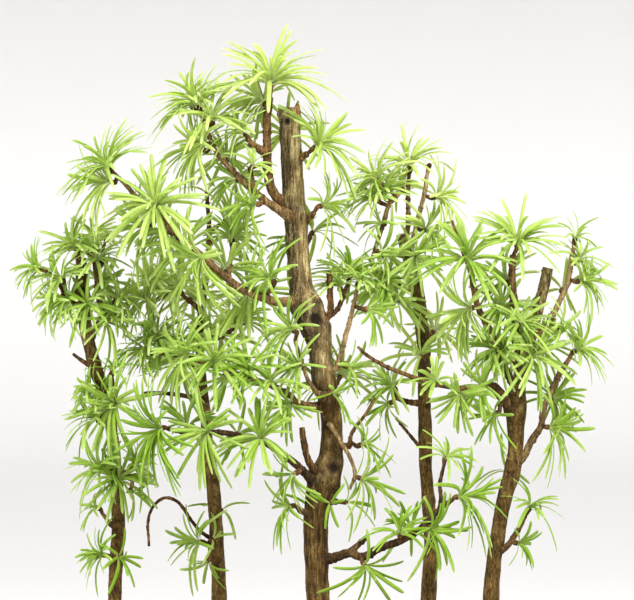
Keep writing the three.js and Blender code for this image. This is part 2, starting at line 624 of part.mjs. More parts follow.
// A needle's path from the bud: its root, its widest place and its tip.
function needlePath(root, axis, sideways, polar, length) {
  const droop = THREE.MathUtils.degToRad(UMBRELLA.droop);
  const toward = (angle) =>
    axis.clone().multiplyScalar(Math.cos(angle)).addScaledVector(sideways, Math.sin(angle));
  const middle = root.clone().addScaledVector(toward(polar - droop), length * NEEDLE.widestAt);
  const tip = middle
    .clone()
    .addScaledVector(toward(polar + droop), length * (1 - NEEDLE.widestAt));
  tip.z -= 0.04 * length;
  return { root, middle, tip };
}

function needleRods({ root, middle, tip }, owner) {
  const start = root.clone().lerp(middle, NEEDLE.rootClear);
  return [
    { owner, from: root, to: start, radius: 0.8 * NEEDLE.halfWidth, isRoot: true },
    { owner, from: start, to: middle, radius: NEEDLE.halfWidth },
    { owner, from: middle, to: tip, radius: 0.7 * NEEDLE.halfWidth },
  ];
}

// A path that keeps clear of everything placed before it, or null when there is no room.
function clearPath(root, axis, u, v, turn, polar, length, owner) {
  for (let i = 0; i < NEEDLE.tries; i += 1) {
    const ease = i / NEEDLE.tries;
    const angle = turn + between(-0.1, 0.1) * (1 + 4 * ease);
    const lean = polar + between(-5, 5) * (1 + 3 * ease);
    const reach = length * between(0.86, 1) * (1 - 0.45 * ease);
    const sideways = u.clone().multiplyScalar(Math.cos(angle)).addScaledVector(v, Math.sin(angle));
    const path = needlePath(root, axis, sideways, THREE.MathUtils.degToRad(lean), reach);
    const made = needleRods(path, owner);
    if (made.every(isClear)) {
      rods.push(...made);
      return path;
    }
  }
  return null;
}

// Draws one face of the bud out into a flat, keeled needle.
function drawOut(points, faces, corners, path, axis) {
  const along = path.tip.clone().sub(path.root).normalize();
  const across = axis.clone().cross(along).normalize();
  const keel = along.clone().cross(across);
  const ring = [
    path.middle.clone().addScaledVector(across, -NEEDLE.halfWidth),
    path.middle.clone().addScaledVector(across, NEEDLE.halfWidth),
    path.middle.clone().addScaledVector(keel, NEEDLE.keel),
  ];
  const shift = path.middle.clone().sub(path.root);
  const cost = (turn) =>
    corners.reduce(
      (sum, c, i) => sum + ring[(i + turn) % 3].distanceTo(points[c].clone().add(shift)),
      0,
    );
  const turn = [0, 1, 2].reduce((best, t) => (cost(t) < cost(best) ? t : best), 0);
  const first = points.length;
  points.push(...corners.map((_, i) => ring[(i + turn) % 3]), path.tip);
  for (let i = 0; i < 3; i += 1) {
    const j = (i + 1) % 3;
    faces.push([corners[i], corners[j], first + j], [corners[i], first + j, first + i]);
    faces.push([first + i, first + j, first + 3]);
  }
}

// A spray: a slim bud whose foot runs back to the wood and whose faces are drawn out into needles.
function sprayOf(spray, foot, owner) {
  const [across, up, back] = spray.slice(3, 6);
  const sides = spray[7] ?? 3;
  const centre = placed(spray);
  const length = spray[6] * scaleAt(spray[2]);
  const axis = new THREE.Vector3(across, back, up).normalize();
  const u = new THREE.Vector3(0.3, 0.2, 0.9).cross(axis).normalize();
  const v = axis.clone().cross(u);
  const spin = between(0, 2 * Math.PI);
  const ringPoint = (turn, height) =>
    centre
      .clone()
      .addScaledVector(axis, height)
      .addScaledVector(u, BUD.radius * Math.cos(turn))
      .addScaledVector(v, BUD.radius * Math.sin(turn));
  const turnOf = (k) => spin + (2 * Math.PI * k) / sides;

  const points = [];
  for (let k = 0; k < sides; k += 1) points.push(ringPoint(turnOf(k), BUD.halfHeight));
  for (let k = 0; k < sides; k += 1) points.push(ringPoint(turnOf(k + 0.5), -BUD.halfHeight));
  const crown = points.push(centre.clone().addScaledVector(axis, BUD.halfHeight + BUD.crown)) - 1;
  const long = foot.distanceTo(centre) > BUD.longSpur;
  const bend = new THREE.Quaternion();
  bend.setFromUnitVectors(axis, centre.clone().sub(foot).normalize());
  const soles = Array.from({ length: sides }, (_, k) => {
    const turn = turnOf(k + 0.5);
    const offset = ringPoint(turn, 0).sub(centre).setLength(long ? BUD.twigRadius : 0);
    offset.applyQuaternion(bend);
    return long || k === 0 ? points.push(foot.clone().add(offset)) - 1 : points.length - 1;
  });

  const faces = [];
  const needle = (corners, turn, polar) => {
    const root = corners
      .reduce((sum, c) => sum.add(points[c]), new THREE.Vector3())
      .divideScalar(3);
    const path = clearPath(root, axis, u, v, turn, polar, length, owner);
    if (path) drawOut(points, faces, corners, path, axis);
    else faces.push(corners);
  };
  for (let k = 0; k < sides; k += 1) {
    const next = (k + 1) % sides;
    needle([k, sides + k, next], turnOf(k + 0.5), UMBRELLA.shoulder);
    needle([sides + k, sides + next, next], turnOf(k + 1), UMBRELLA.skirt);
    needle([crown, k, next], turnOf(k + 0.5), UMBRELLA.crown);
    faces.push([sides + next, sides + k, soles[k]]);
    if (long) faces.push([sides + next, soles[k], soles[next]]);
    if (long && k > 0 && next > 0) faces.push([soles[0], soles[next], soles[k]]);
  }
  return solidOf(geometryOf(points, faces));
}

// The point inside a stem that a bud's foot grows from: never the very end of the stem, and a
// little past its middle line.
function footOn(stem, bud) {
  const centres = stem.map(({ at }) => at.clone());
  const last = centres.length - 1;
  const end = centres[last].clone().sub(centres[last - 1]);
  centres[last].addScaledVector(end.normalize(), -BUD.sunk);
  const line = new THREE.Line3();
  let foot = null;
  for (let i = 0; i < last; i += 1) {
    line.set(centres[i], centres[i + 1]);
    const found = line.closestPointToPoint(bud, true, new THREE.Vector3());
    if (!foot || found.distanceTo(bud) < foot.distanceTo(bud)) foot = found;
  }
  const away = foot.clone().sub(bud).normalize();
  return foot.addScaledVector(away, 0.5 * stem[last].radius);
}

function nearestFoot(stems, bud) {
  const feet = stems.map((stem) => footOn(stem, bud));
  return feet.sort((a, b) => a.distanceTo(bud) - b.distanceTo(bud))[0];
}

// A stem stops short of a bud at its end, so that only the bud's foot runs into it.
function shortened(stem, buds) {
  const end = stem.at(-1);
  const room = Math.min(...buds.map((bud) => bud.distanceTo(end.at)));
  const back = stem.at(-2).at.clone().sub(end.at);
  const trim = Math.min(Math.max(BUD.seat - room, 0), 0.7 * back.length());
  const at = end.at.clone().addScaledVector(back.normalize(), trim);
  return [...stem.slice(0, -1), { at, radius: end.radius }];
}

function shootLines({ stems, sprays }) {
  const buds = sprays.map(placed);
  return stems.map((stem) => shortened(laidOut(stem), buds));
}

function trunkSolid({ route, stubs, sides }, swell = 0) {
  const bole = woodOf(laidOut(route), sides, swell);
  return stubs.reduce((wood, stub) => wood.add(woodOf(laidOut(stub), 4, swell)), bole);
}

// Each shoot has a seed of its own, so that a change to one leaves the others as they are.
function shootSolid(owner, form, trunk) {
  random = seeded(form.seed ?? owner.length * 1000 + form.stems[0][0][1]);
  const stems = shootLines(form);
  const [first, ...others] = stems.map((stem) => {
    const sides = stem[0].radius > STEM.stout ? 4 : 3;
    return woodOf(stem, sides, 0, heelOn(trunk, stem));
  });
  const wood = others.reduce((sum, stem) => sum.add(stem), first);
  return form.sprays.reduce(
    (sum, spray) => sum.add(sprayOf(spray, nearestFoot(stems, placed(spray)), owner)),
    wood,
  );
}

// Tray, screens, clips and soil

// One ring of a rounded oblong at a height, its straight sides drawn in by inset.
function oblongRing(length, width, corner, inset, height) {
  const radius = Math.max(corner - inset, 2);
  const points = [];
  const centres = [[1, 1], [-1, 1], [-1, -1], [1, -1]];
  centres.forEach(([sx, sy], quarter) => {
    for (let k = 0; k < TRAY.cornerSteps; k += 1) {
      const turn = (Math.PI / 2) * (quarter + k / (TRAY.cornerSteps - 1));
      points.push(
        new THREE.Vector3(
          sx * (length / 2 - inset - radius) + radius * Math.cos(turn),
          sy * (width / 2 - inset - radius) + radius * Math.sin(turn),
          height,
        ),
      );
    }
  });
  return points;
}

function oblongSolid(steps) {
  return solidOf(
    skinOf(steps.map(([inset, z]) => oblongRing(TRAY.length, TRAY.width, TRAY.corner, inset, z))),
  );
}

function boxSolid(x, y, z, sx, sy, sz) {
  return solidOf(new THREE.BoxGeometry(sx, sy, sz).translate(x, y, z));
}

function discSolid(x, y, bottom, top, radius, sides) {
  const disc = new THREE.CylinderGeometry(radius, radius, top - bottom, sides);
  return solidOf(disc.rotateX(Math.PI / 2).translate(x, y, (top + bottom) / 2));
}

const holes = [-1, 1].map((side) => side * TRAY.holeOffset);

// How far the outer wall leans in at a height.
function wallInset(z) {
  return TRAY.lip + (TRAY.draft * (TRAY.height - z)) / TRAY.height;
}

// The steps of the room inside the walls up to a height, drawn in further by spare.
function roomSteps(top, spare) {
  const inner = (z) => wallInset(z) + TRAY.wall + spare;
  const bend = TRAY.floorTop + TRAY.fillet;
  return [
    [inner(TRAY.floorTop) + TRAY.fillet, TRAY.floorTop + spare],
    [inner(bend), bend + spare],
    [inner(top), top],
  ];
}

function traySolid() {
  const underLip = TRAY.height - TRAY.lipHeight;
  const body = oblongSolid([
    [wallInset(TRAY.floorBottom), TRAY.floorBottom],
    [wallInset(underLip), underLip],
    [0, underLip + 2],
    [0, TRAY.height - 1.5],
    [1.5, TRAY.height],
  ]);
  const hollow = oblongSolid(roomSteps(TRAY.height + 2, 0));
  const feet = [-1, 1].flatMap((sx) =>
    [-1, 1].map((sy) => {
      const x = sx * (TRAY.length / 2 - 2 * TRAY.corner - TRAY.footLength / 2 + 8);
      const y = sy * (TRAY.width / 2 - wallInset(0) - TRAY.footWidth / 2 - 4);
      const tall = TRAY.floorBottom + 2;
      return boxSolid(x, y, tall / 2, TRAY.footLength, TRAY.footWidth, tall);
    }),
  );
  const bores = holes.map((x) =>
    discSolid(x, 0, TRAY.floorBottom - 3, TRAY.floorTop + 3, TRAY.holeRadius, 12),
  );
  const whole = feet.reduce((sum, foot) => sum.add(foot), body.subtract(hollow));
  return bores.reduce((sum, bore) => sum.subtract(bore), whole);
}

function screenSolid(x) {
  const middle = (SCREEN.openings - 1) / 2;
  const z = TRAY.floorTop + FIT.gap + SCREEN.thick / 2;
  let plate = boxSolid(x, 0, z, SCREEN.side, SCREEN.side, SCREEN.thick);
  for (let i = 0; i < SCREEN.openings; i += 1) {
    for (let k = 0; k < SCREEN.openings; k += 1) {
      const left = x + (i - middle) * SCREEN.pitch;
      const back = (k - middle) * SCREEN.pitch;
      const deep = 3 * SCREEN.thick;
      plate = plate.subtract(boxSolid(left, back, z, SCREEN.opening, SCREEN.opening, deep));
    }
  }
  return plate;
}

// A staple of wire over the screen, down through it and the hole, its ends turned out below.
function clipSolid(x) {
  const top = TRAY.floorTop + SCREEN.thick + 2 * FIT.gap + CLIP.radius;
  const bottom = TRAY.floorBottom - FIT.gap - CLIP.radius;
  const half = CLIP.span / 2;
  const outer = TRAY.holeRadius + CLIP.foot - half;
  const leg = [[outer + half, bottom], [half + 1, bottom], [half, bottom + 1.5], [half, top - 1.5],
    [half - 1.5, top]];
  const line = [...leg, ...leg.map(([away, z]) => [-away, z]).reverse()];
  const rings = line.map(([away, z], i) => {
    const before = line[Math.max(i - 1, 0)];
    const after = line[Math.min(i + 1, line.length - 1)];
    const along = new THREE.Vector3(after[0] - before[0], 0, after[1] - before[1]).normalize();
    const side = new THREE.Vector3(-along.z, 0, along.x);
    return [0, 1, 2, 3].map((k) => {
      const turn = (Math.PI * k) / 2;
      return new THREE.Vector3(x + away, SCREEN.pitch / 2, z)
        .addScaledVector(side, CLIP.radius * Math.cos(turn))
        .add(new THREE.Vector3(0, -CLIP.radius * Math.sin(turn), 0));
    });
  });
  return solidOf(skinOf(rings));
}

// The soil fills the tray to near its rim and rises to a low mound round the trunks.
function soilSolid(trunkCutters) {
  const bottom = TRAY.floorTop + FIT.gap;
  const brim = TRAY.height - SOIL.rim;
  const steps = roomSteps(brim, FIT.gap);
  const edge = steps.at(-1)[0];
  const reach = TRAY.width / 2 - edge - SOIL.crest;
  for (let k = 1; k < SOIL.rings; k += 1) {
    const share = k / SOIL.rings;
    steps.push([edge + share * reach, brim + SOIL.mound * (1 - (1 - share) ** SOIL.slope)]);
  }
  const filled = oblongSolid(steps);
  const rooms = holes.map((x) => {
    const tall = SCREEN.thick + 2 * CLIP.radius + 4 * FIT.gap;
    const side = SCREEN.side + 2 * FIT.gap;
    return boxSolid(x, 0, bottom + tall / 2 - 1, side, side, tall + 2);
  });
  return [...rooms, ...trunkCutters].reduce((sum, cut) => sum.subtract(cut), filled);
}

// The whole planting

const planting = new THREE.Group();
const trunkNames = Object.keys(TRUNKS);
const cutters = trunkNames.map((name) => trunkSolid(TRUNKS[name], FIT.gap));

for (const name of trunkNames) {
  const { route, stubs } = TRUNKS[name];
  [route, ...stubs].forEach((line) => addRods(name, laidOut(line)));
  for (const [shoot, form] of Object.entries(SHOOTS[name])) {
    const stems = shootLines(form);
    stems.forEach((stem) => addRods(shoot, stem));
    form.sprays.map(placed).forEach((bud) => {
      rods.push({ owner: shoot, from: nearestFoot(stems, bud), to: bud, radius: BUD.radius });
    });
  }
}

planting.add(meshOf(traySolid(), 'tray', COLOURS.clay));
planting.add(meshOf(soilSolid(cutters), 'soil', COLOURS.soil));
holes.forEach((x, i) => {
  const side = i ? 'right' : 'left';
  planting.add(meshOf(screenSolid(x), `drain_screen_${side}`, COLOURS.mesh));
  planting.add(meshOf(clipSolid(x), `screen_clip_${side}`, COLOURS.wire));
});
trunkNames.forEach((name) => {
  const look = name === 'trunk_main' ? COLOURS.paleBark : COLOURS.bark;
  planting.add(meshOf(trunkSolid(TRUNKS[name]), name, look));
  for (const [shoot, form] of Object.entries(SHOOTS[name])) {
    planting.add(meshOf(shootSolid(shoot, form, laidOut(TRUNKS[name].route)), shoot, COLOURS.needles));
  }
});

export default planting;
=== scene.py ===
import math
import random
from functools import partial

import bpy
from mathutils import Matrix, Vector, noise


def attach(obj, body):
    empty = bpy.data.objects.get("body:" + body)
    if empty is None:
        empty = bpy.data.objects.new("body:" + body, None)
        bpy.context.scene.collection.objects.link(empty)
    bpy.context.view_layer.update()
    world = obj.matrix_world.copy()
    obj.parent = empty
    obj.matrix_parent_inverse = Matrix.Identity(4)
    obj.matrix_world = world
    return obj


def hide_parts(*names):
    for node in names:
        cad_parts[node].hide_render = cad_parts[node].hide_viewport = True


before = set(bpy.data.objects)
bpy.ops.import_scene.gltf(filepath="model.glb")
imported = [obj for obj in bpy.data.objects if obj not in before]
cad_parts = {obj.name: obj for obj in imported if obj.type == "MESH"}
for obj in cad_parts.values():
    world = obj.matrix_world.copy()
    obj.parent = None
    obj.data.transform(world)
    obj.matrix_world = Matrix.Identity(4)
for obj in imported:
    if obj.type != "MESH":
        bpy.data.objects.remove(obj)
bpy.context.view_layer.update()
mm = 0.001
scene = bpy.context.scene

sheet = {
    "unit": 0.62,  # mm in one sheet unit, at the main trunk
    "across": 312,  # sheet units from the left edge to the middle of the tray
    "down": 600,  # the line on the sheet that stands at height
    "height": 125,  # mm from the surface to that line
    "eyeDown": 300,  # the line on the sheet level with the eye
    "eyeDistance": 1400,  # mm from the eye to the main trunk
    "forward": 12,  # mm that the main trunk stands before the middle of the tray
}
eyeHeight = sheet["height"] + (sheet["down"] - sheet["eyeDown"]) * sheet["unit"]


def scaleAt(away):
    return sheet["unit"] * (1 + away * sheet["unit"] / sheet["eyeDistance"])


def placed(point):
    across, down, away = point[:3]
    scale = scaleAt(away)
    x = (across - sheet["across"]) * scale
    y = away * sheet["unit"] - sheet["forward"]
    return Vector((x, y, eyeHeight + (sheet["eyeDown"] - down) * scale)) * mm


def laidOut(route):
    return [(placed(point), point[3] * scaleAt(point[2]) * mm) for point in route]


# Nodes, colours and materials


def linear(hexCode):
    parts = [int(hexCode[i : i + 2], 16) / 255 for i in (1, 3, 5)]
    return [c / 12.92 if c <= 0.04045 else ((c + 0.055) / 1.055) ** 2.4 for c in parts] + [1]


def socketOf(node, key):
    for socket in node.inputs:
        if socket.identifier == key:
            return socket
    return node.inputs[key]


# The stops of a colour ramp as [place, colour], or the points of a curve from first to last.
def setStops(node, stops):
    if node.bl_idname == "ShaderNodeValToRGB":
        elements = node.color_ramp.elements
        while len(elements) < len(stops):
            elements.new(0.5)
        for element, (place, colour) in zip(elements, stops):
            element.position = place
            element.color = linear(colour)
    else:
        points = node.mapping.curves[0].points
        points[0].location, points[1].location = stops[0], stops[-1]
        for x, y in stops[1:-1]:
            points.new(x, y)
        node.mapping.update()


# Adds a node. Its settings are properties and values of its inputs, or only its operation, and
# further values go to its inputs in order. A value may be what is linked to the input: a socket,
# or a node, whose first live output is taken.
def addNode(tree, kind, settings=None, *values):
    node = tree.nodes.new(kind)
    if isinstance(settings, str):
        settings = {"operation": settings}
    inputs = dict(enumerate(values))
    for key, value in (settings or {}).items():
        if key == "stops":
            setStops(node, value)
        elif hasattr(node, key):
            setattr(node, key, value)
        else:
            inputs[key] = value
    for key, value in inputs.items():
        if isinstance(value, bpy.types.Node):
            value = next(s for s in value.outputs if s.enabled)
        if isinstance(value, bpy.types.NodeSocket):
            tree.links.new(value, socketOf(node, key))
        else:
            socketOf(node, key).default_value = value
    return node


# A new material, a function that adds its nodes, and what its patterns start from: the place on
# the piece, noise as (mm across, detail, roughness, how far drawn out along Z), and attributes.
def newMaterial(name, patterns, marks=()):
    material = bpy.data.materials.new(name)
    material.use_nodes = True
    material.node_tree.nodes.clear()
    add = partial(addNode, material.node_tree)
    given = {"place": add("ShaderNodeTexCoord").outputs["Object"]}
    for key, pattern in patterns.items():
        across, detail, rough, drawn = (*pattern, 0.5, 1)[:4]
        place = given["place"]
        if drawn != 1:
            place = add("ShaderNodeMapping", {"Scale": (1, 1, 1 / drawn), "Vector": place})
        grain = {"Scale": 1000 / across, "Detail": detail, "Roughness": rough, "Vector": place}
        given[key] = add("ShaderNodeTexNoise", grain).outputs["Fac"]
    for key in marks:
        given[key] = add("ShaderNodeAttribute", {"attribute_name": key}).outputs["Fac"]
    return material, add, given


# Ends a material with the values of its surface and fine relief, as (pattern, strength, mm).
def addSurface(add, relief, values):
    pattern, strength, depth = relief
    fine = {"Height": pattern, "Strength": strength, "Distance": depth * mm}
    bump = add("ShaderNodeBump", fine)
    surface = add("ShaderNodeBsdfPrincipled", {"Normal": bump, **values})
    add("ShaderNodeOutputMaterial", {"Surface": surface})


# Larch needles: soft young leaves, matte and a little translucent, paler at the root and the tip.
def larchNeedle():
    patterns = {"cells": (1000 / 260, 3)}
    material, add, given = newMaterial("young larch needle", patterns, ["along", "tint", "fresh"])
    young = [(0, "#F0F5CE"), (0.16, "#E1ECA4"), (0.5, "#D5E682"), (0.88, "#DAE992"), (1, "#E9F2B6")]
    older = [(0, "#DCE8A8"), (0.16, "#B3CF57"), (0.55, "#9AC03B"), (0.9, "#A6C94D"), (1, "#BED474")]
    youngGreen = add("ShaderNodeValToRGB", {"Fac": given["along"], "stops": young})
    olderGreen = add("ShaderNodeValToRGB", {"Fac": given["along"], "stops": older})
    mixBy = add("ShaderNodeMath", "MULTIPLY_ADD", given["tint"], 0.5, given["fresh"])
    mixBy.use_clamp = True
    greens = {"Factor_Float": mixBy, "A_Color": olderGreen, "B_Color": youngGreen}
    green = add("ShaderNodeMix", {"data_type": "RGBA", **greens})
    cells = {"Value": given["cells"], "From Min": 0.3, "From Max": 0.7}
    mottle = add("ShaderNodeMapRange", {"To Min": 0.9, "To Max": 1.08, **cells})
    rough = add("ShaderNodeMapRange", {"To Min": 0.42, "To Max": 0.6, **cells})
    colour = add("ShaderNodeVectorMath", {"operation": "SCALE", "Vector": green, "Scale": mottle})
    bump = add("ShaderNodeBump", {"Strength": 0.25, "Distance": 0.0002, "Height": given["cells"]})
    skin = {"Base Color": colour, "Roughness": rough, "Normal": bump}
    leaf = add("ShaderNodeBsdfPrincipled", {"IOR": 1.42, "Specular IOR Level": 0.15, **skin})
    through = add("ShaderNodeBsdfTranslucent", {"Color": colour, "Normal": bump})
    both = add("ShaderNodeMixShader", {"Fac": 0.5, "Shader": leaf, "Shader_001": through})
    add("ShaderNodeOutputMaterial", {"Surface": both})
    return material


# Larch bark: rough, dry and matte, with long fibres, fine splits along them and dark pores. Its
# colours run from the cracks to the worn ridges, and grey ones take over where it has weathered.
# The attribute that the wood carries darkens it to near black, both for real stains and for painted
# shade.
def larchBark(name, colours, grey, fibre=1.0, stretch=11):
    patterns = {
        "fibres": (1.0 * fibre, 4, 0.6, stretch),
        "strips": (3.2 * fibre, 3, 0.6, stretch),
        "patches": (11, 5, 0.6, 1),
        "flakes": (1.5, 4, 0.6, 1),
    }
    material, add, given = newMaterial(name, patterns, ["stain", "grey"])
    blend = given["fibres"]
    for layer, weight in (("strips", 0.8), ("patches", 0.7), ("flakes", 0.6)):
        blend = add("ShaderNodeMath", "MULTIPLY_ADD", given[layer], weight, blend)
    spread = add("ShaderNodeMapRange", {"From Min": 1.2, "From Max": 1.9, "Value": blend})
    brownStops = list(zip((0.12, 0.38, 0.6, 0.86), colours))
    paleStops = list(zip((0.12, 0.36, 0.58, 0.84), grey))
    brown = add("ShaderNodeValToRGB", {"Fac": spread, "stops": brownStops})
    pale = add("ShaderNodeValToRGB", {"Fac": spread, "stops": paleStops})
    ages = {"Factor_Float": given["grey"], "A_Color": brown, "B_Color": pale}
    aged = add("ShaderNodeMix", {"data_type": "RGBA", **ages})
    middle = add("ShaderNodeMath", "SUBTRACT", given["strips"], 0.5)
    beside = add("ShaderNodeMath", "ABSOLUTE", middle)
    # old grey wood splits more than bark
    depth = add("ShaderNodeMapRange", {"To Min": 0.12, "To Max": 0.36, "Value": given["grey"]})
    width = {"From Min": 0.004, "From Max": 0.03, "To Min": depth, "To Max": 0}
    splits = add("ShaderNodeMapRange", {"Value": beside, **width})
    pits = {"From Min": 0.58, "From Max": 0.66, "To Max": 0.65}
    pores = add("ShaderNodeMapRange", {"Value": given["flakes"], **pits})
    marks = add("ShaderNodeMath", "MAXIMUM", pores, splits)
    # darkened towards near black by the dark marks, by real stains and by painted shade
    dark = add("ShaderNodeMath", "ADD", marks, given["stain"])
    dark.use_clamp = True
    stainedAndShaded = {"Factor_Float": dark, "A_Color": aged, "B_Color": linear("#21150B")}
    colour = add("ShaderNodeMix", {"data_type": "RGBA", **stainedAndShaded})
    height = add("ShaderNodeMath", "MULTIPLY_ADD", marks, -0.6, blend)
    worn = {"From Min": 0.3, "From Max": 0.75, "To Min": 0.95, "To Max": 0.7}
    rough = add("ShaderNodeMapRange", {"Value": given["fibres"], **worn})
    skin = {"Base Color": colour, "Roughness": rough, "IOR": 1.45, "Specular IOR Level": 0.25}
    addSurface(add, (height, 0.8, 0.6), skin)
    return material


# Sawn larch wood, dried out: pale tan going grey, with growth rings and a few fine checks.
def sawnLarch():
    material, add, given = newMaterial("sawn larch wood", {"grain": (1.6, 5, 0.7, 1)}, ["outward"])
    wavy = add("ShaderNodeMath", "MULTIPLY_ADD", given["grain"], 0.12, given["outward"])
    years = add("ShaderNodeMath", "MULTIPLY", wavy, 7.0)
    year = add("ShaderNodeMath", "FRACT", years)
    shade = add("ShaderNodeMath", "MULTIPLY_ADD", year, -0.3, given["grain"])
    tans = [(0.1, "#5E4A34"), (0.32, "#93795A"), (0.55, "#B89F7C")]
    colour = add("ShaderNodeValToRGB", {"Fac": shade, "stops": tans})
    cut = {"Base Color": colour, "Roughness": 0.85, "IOR": 1.45, "Specular IOR Level": 0.3}
    addSurface(add, (shade, 0.5, 0.4), cut)
    return material


# Unglazed stoneware: fired brown clay, matte, with fine grog and darker flashes from the kiln.
def unglazedClay():
    patterns = {"flashes": (60, 5), "grog": (0.9, 3)}
    material, add, given = newMaterial("unglazed stoneware", patterns)
    browns = [(0.3, "#4E3A2E"), (0.52, "#684C3B"), (0.72, "#7A5A46")]
    greys = [(0.34, "#8A8078"), (0.5, "#FFFFFF"), (0.72, "#D9CFC4")]
    body = add("ShaderNodeValToRGB", {"Fac": given["flashes"], "stops": browns})
    specks = add("ShaderNodeValToRGB", {"Fac": given["grog"], "stops": greys})
    fired = {"blend_type": "MULTIPLY", "Factor_Float": 0.6, "A_Color": body, "B_Color": specks}
    colour = add("ShaderNodeMix", {"data_type": "RGBA", **fired})
    kiln = {"From Min": 0.3, "From Max": 0.7, "To Min": 0.62, "To Max": 0.8}
    rough = add("ShaderNodeMapRange", {"Value": given["flashes"], **kiln})
    skin = {"Base Color": colour, "Roughness": rough, "IOR": 1.5, "Specular IOR Level": 0.4}
    addSurface(add, (given["grog"], 0.35, 0.4), skin)
    return material


# Baked clay granules and grit: dull, porous, each a little different in colour.
def soilGrit():
    material, add, given = newMaterial("baked clay grit", {"pores": (0.8, 4)}, ["tint"])
    browns = [(0, "#3A2A1F"), (0.3, "#5C4330"), (0.6, "#7A5B3F"), (0.82, "#8F7556"), (1, "#4A443E")]
    kind = add("ShaderNodeValToRGB", {"Fac": given["tint"], "stops": browns})
    spread = {"From Min": 0.3, "From Max": 0.7, "To Min": 0.75, "To Max": 1.15}
    shade = add("ShaderNodeMapRange", {"Value": given["pores"], **spread})
    colour = add("ShaderNodeVectorMath", {"operation": "SCALE", "Vector": kind, "Scale": shade})
    skin = {"Base Color": colour, "Roughness": 0.92, "IOR": 1.45, "Specular IOR Level": 0.25}
    addSurface(add, (given["pores"], 0.6, 0.3), skin)
    return material


# Cushion moss: low and velvety, yellow-green tips over a darker mat.
def cushionMoss():
    patterns = {"patches": (14, 4), "fuzz": (0.9, 3)}
    material, add, given = newMaterial("cushion moss", patterns, ["tint"])
    blend = add("ShaderNodeMath", "MULTIPLY_ADD", given["tint"], 0.4, given["patches"])
    greens = [(0.35, "#33421A"), (0.6, "#566B26"), (0.85, "#7D8F38"), (1, "#A0A654")]
    green = add("ShaderNodeValToRGB", {"Fac": blend, "stops": greens})
    mat = {"Base Color": green, "Roughness": 0.95, "IOR": 1.4, "Specular IOR Level": 0.2}
    addSurface(add, (given["fuzz"], 0.8, 0.6), mat)
    return material


# Black polypropylene mesh: moulded, faintly grained, dulled by soil dust.
def blackPolypropylene():
    patterns = {"dust": (5, 5), "grain": (0.3, 1)}
    material, add, given = newMaterial("black polypropylene", patterns)
    blacks = [(0.4, "#17181A"), (0.62, "#2A2825"), (0.8, "#4A4238")]
    colour = add("ShaderNodeValToRGB", {"Fac": given["dust"], "stops": blacks})
    plastic = {"Base Color": colour, "Roughness": 0.55, "IOR": 1.49}
    addSurface(add, (given["grain"], 0.2, 0.1), plastic)
    return material


# Annealed aluminium wire: soft grey metal with drawing lines and a dull bloom.
def annealedWire():
    material, add, given = newMaterial("annealed aluminium wire", {"bloom": (2.4, 4)})
    greys = [(0.35, "#9A9792"), (0.65, "#C4C2BE")]
    colour = add("ShaderNodeValToRGB", {"Fac": given["bloom"], "stops": greys})
    dulled = {"From Min": 0.35, "From Max": 0.65, "To Min": 0.52, "To Max": 0.34}
    rough = add("ShaderNodeMapRange", {"Value": given["bloom"], **dulled})
    metal = {"Base Color": colour, "Roughness": rough, "Metallic": 1}
    addSurface(add, (given["bloom"], 0.15, 0.05), metal)
    return material


needleGreen = larchNeedle()
trunkBark = larchBark(
    "larch trunk bark",
    ["#2B1D0A", "#503C19", "#6D5428", "#927641"],
    ["#2E2513", "#655530", "#8E7D4F", "#BCAC80"],
    fibre=0.8,
    stretch=3.5,
)
mainBark = larchBark(
    "old larch trunk bark",
    ["#27190A", "#4A3616", "#674E24", "#8F7748"],
    ["#4A3B22", "#77643E", "#9E885B", "#CBB788"],
)
twigBark = larchBark(
    "larch twig bark",
    ["#24170B", "#4A3218", "#6F4E29", "#9E7A48"],
    ["#5A452C", "#8C724A", "#AF9263", "#D0B486"],
    fibre=0.6,
)
sawnWood = sawnLarch()
clay = unglazedClay()
grit = soilGrit()
moss = cushionMoss()
meshPlastic = blackPolypropylene()
wire = annealedWire()
print("materials made")

# Wood: tubes round smoothed routes, with bark relief, knots and sawn ends


wood = {
    "mainAround": 72,  # points round the main trunk
    "trunkAround": 40,
    "stubAround": 16,
    "stemAround": 12,
    "twigAround": 9,
    "thinnest": 1.6,  # mm radius below which a stem is a twig
    "trunkPitch": 1.0,  # mm between the rings of a trunk
    "stemPitch": 1.1,
    "mainRelief": 1.25,  # how strong the bark's relief is
    "trunkRelief": 0.9,
    "crack": 0.55,  # mm that cracks go into old bark
    "fibre": 0.14,
    "pit": 0.22,
    "lump": 0.1,  # share of the radius
    "plateWide": 2.2,  # mm across a plate, a fibre, a pit and a lump
    "fibreWide": 0.9,
    "pitWide": 1.4,
    "lumpWide": 9,
    "flare": 0.34,  # share that a trunk's foot spreads at the soil
    "flareRise": 9,  # mm in which that dies out
    "flareEnd": 30,
    "soilTop": 50,  # mm, where the soil meets the trunks
    "budEvery": 5.2,  # mm between the old buds on a twig
    "budOut": 0.75,
    "budWide": 0.8,
    "ringOut": 0.8,
    "ringWide": 1.3,
    "stout": 1.6,  # mm radius from which buds and rings have their full height
    "collar": 0.6,  # share that a stem swells where it leaves the wood it grows on
    "collarRise": 5,  # mm, for each share of swelling
}


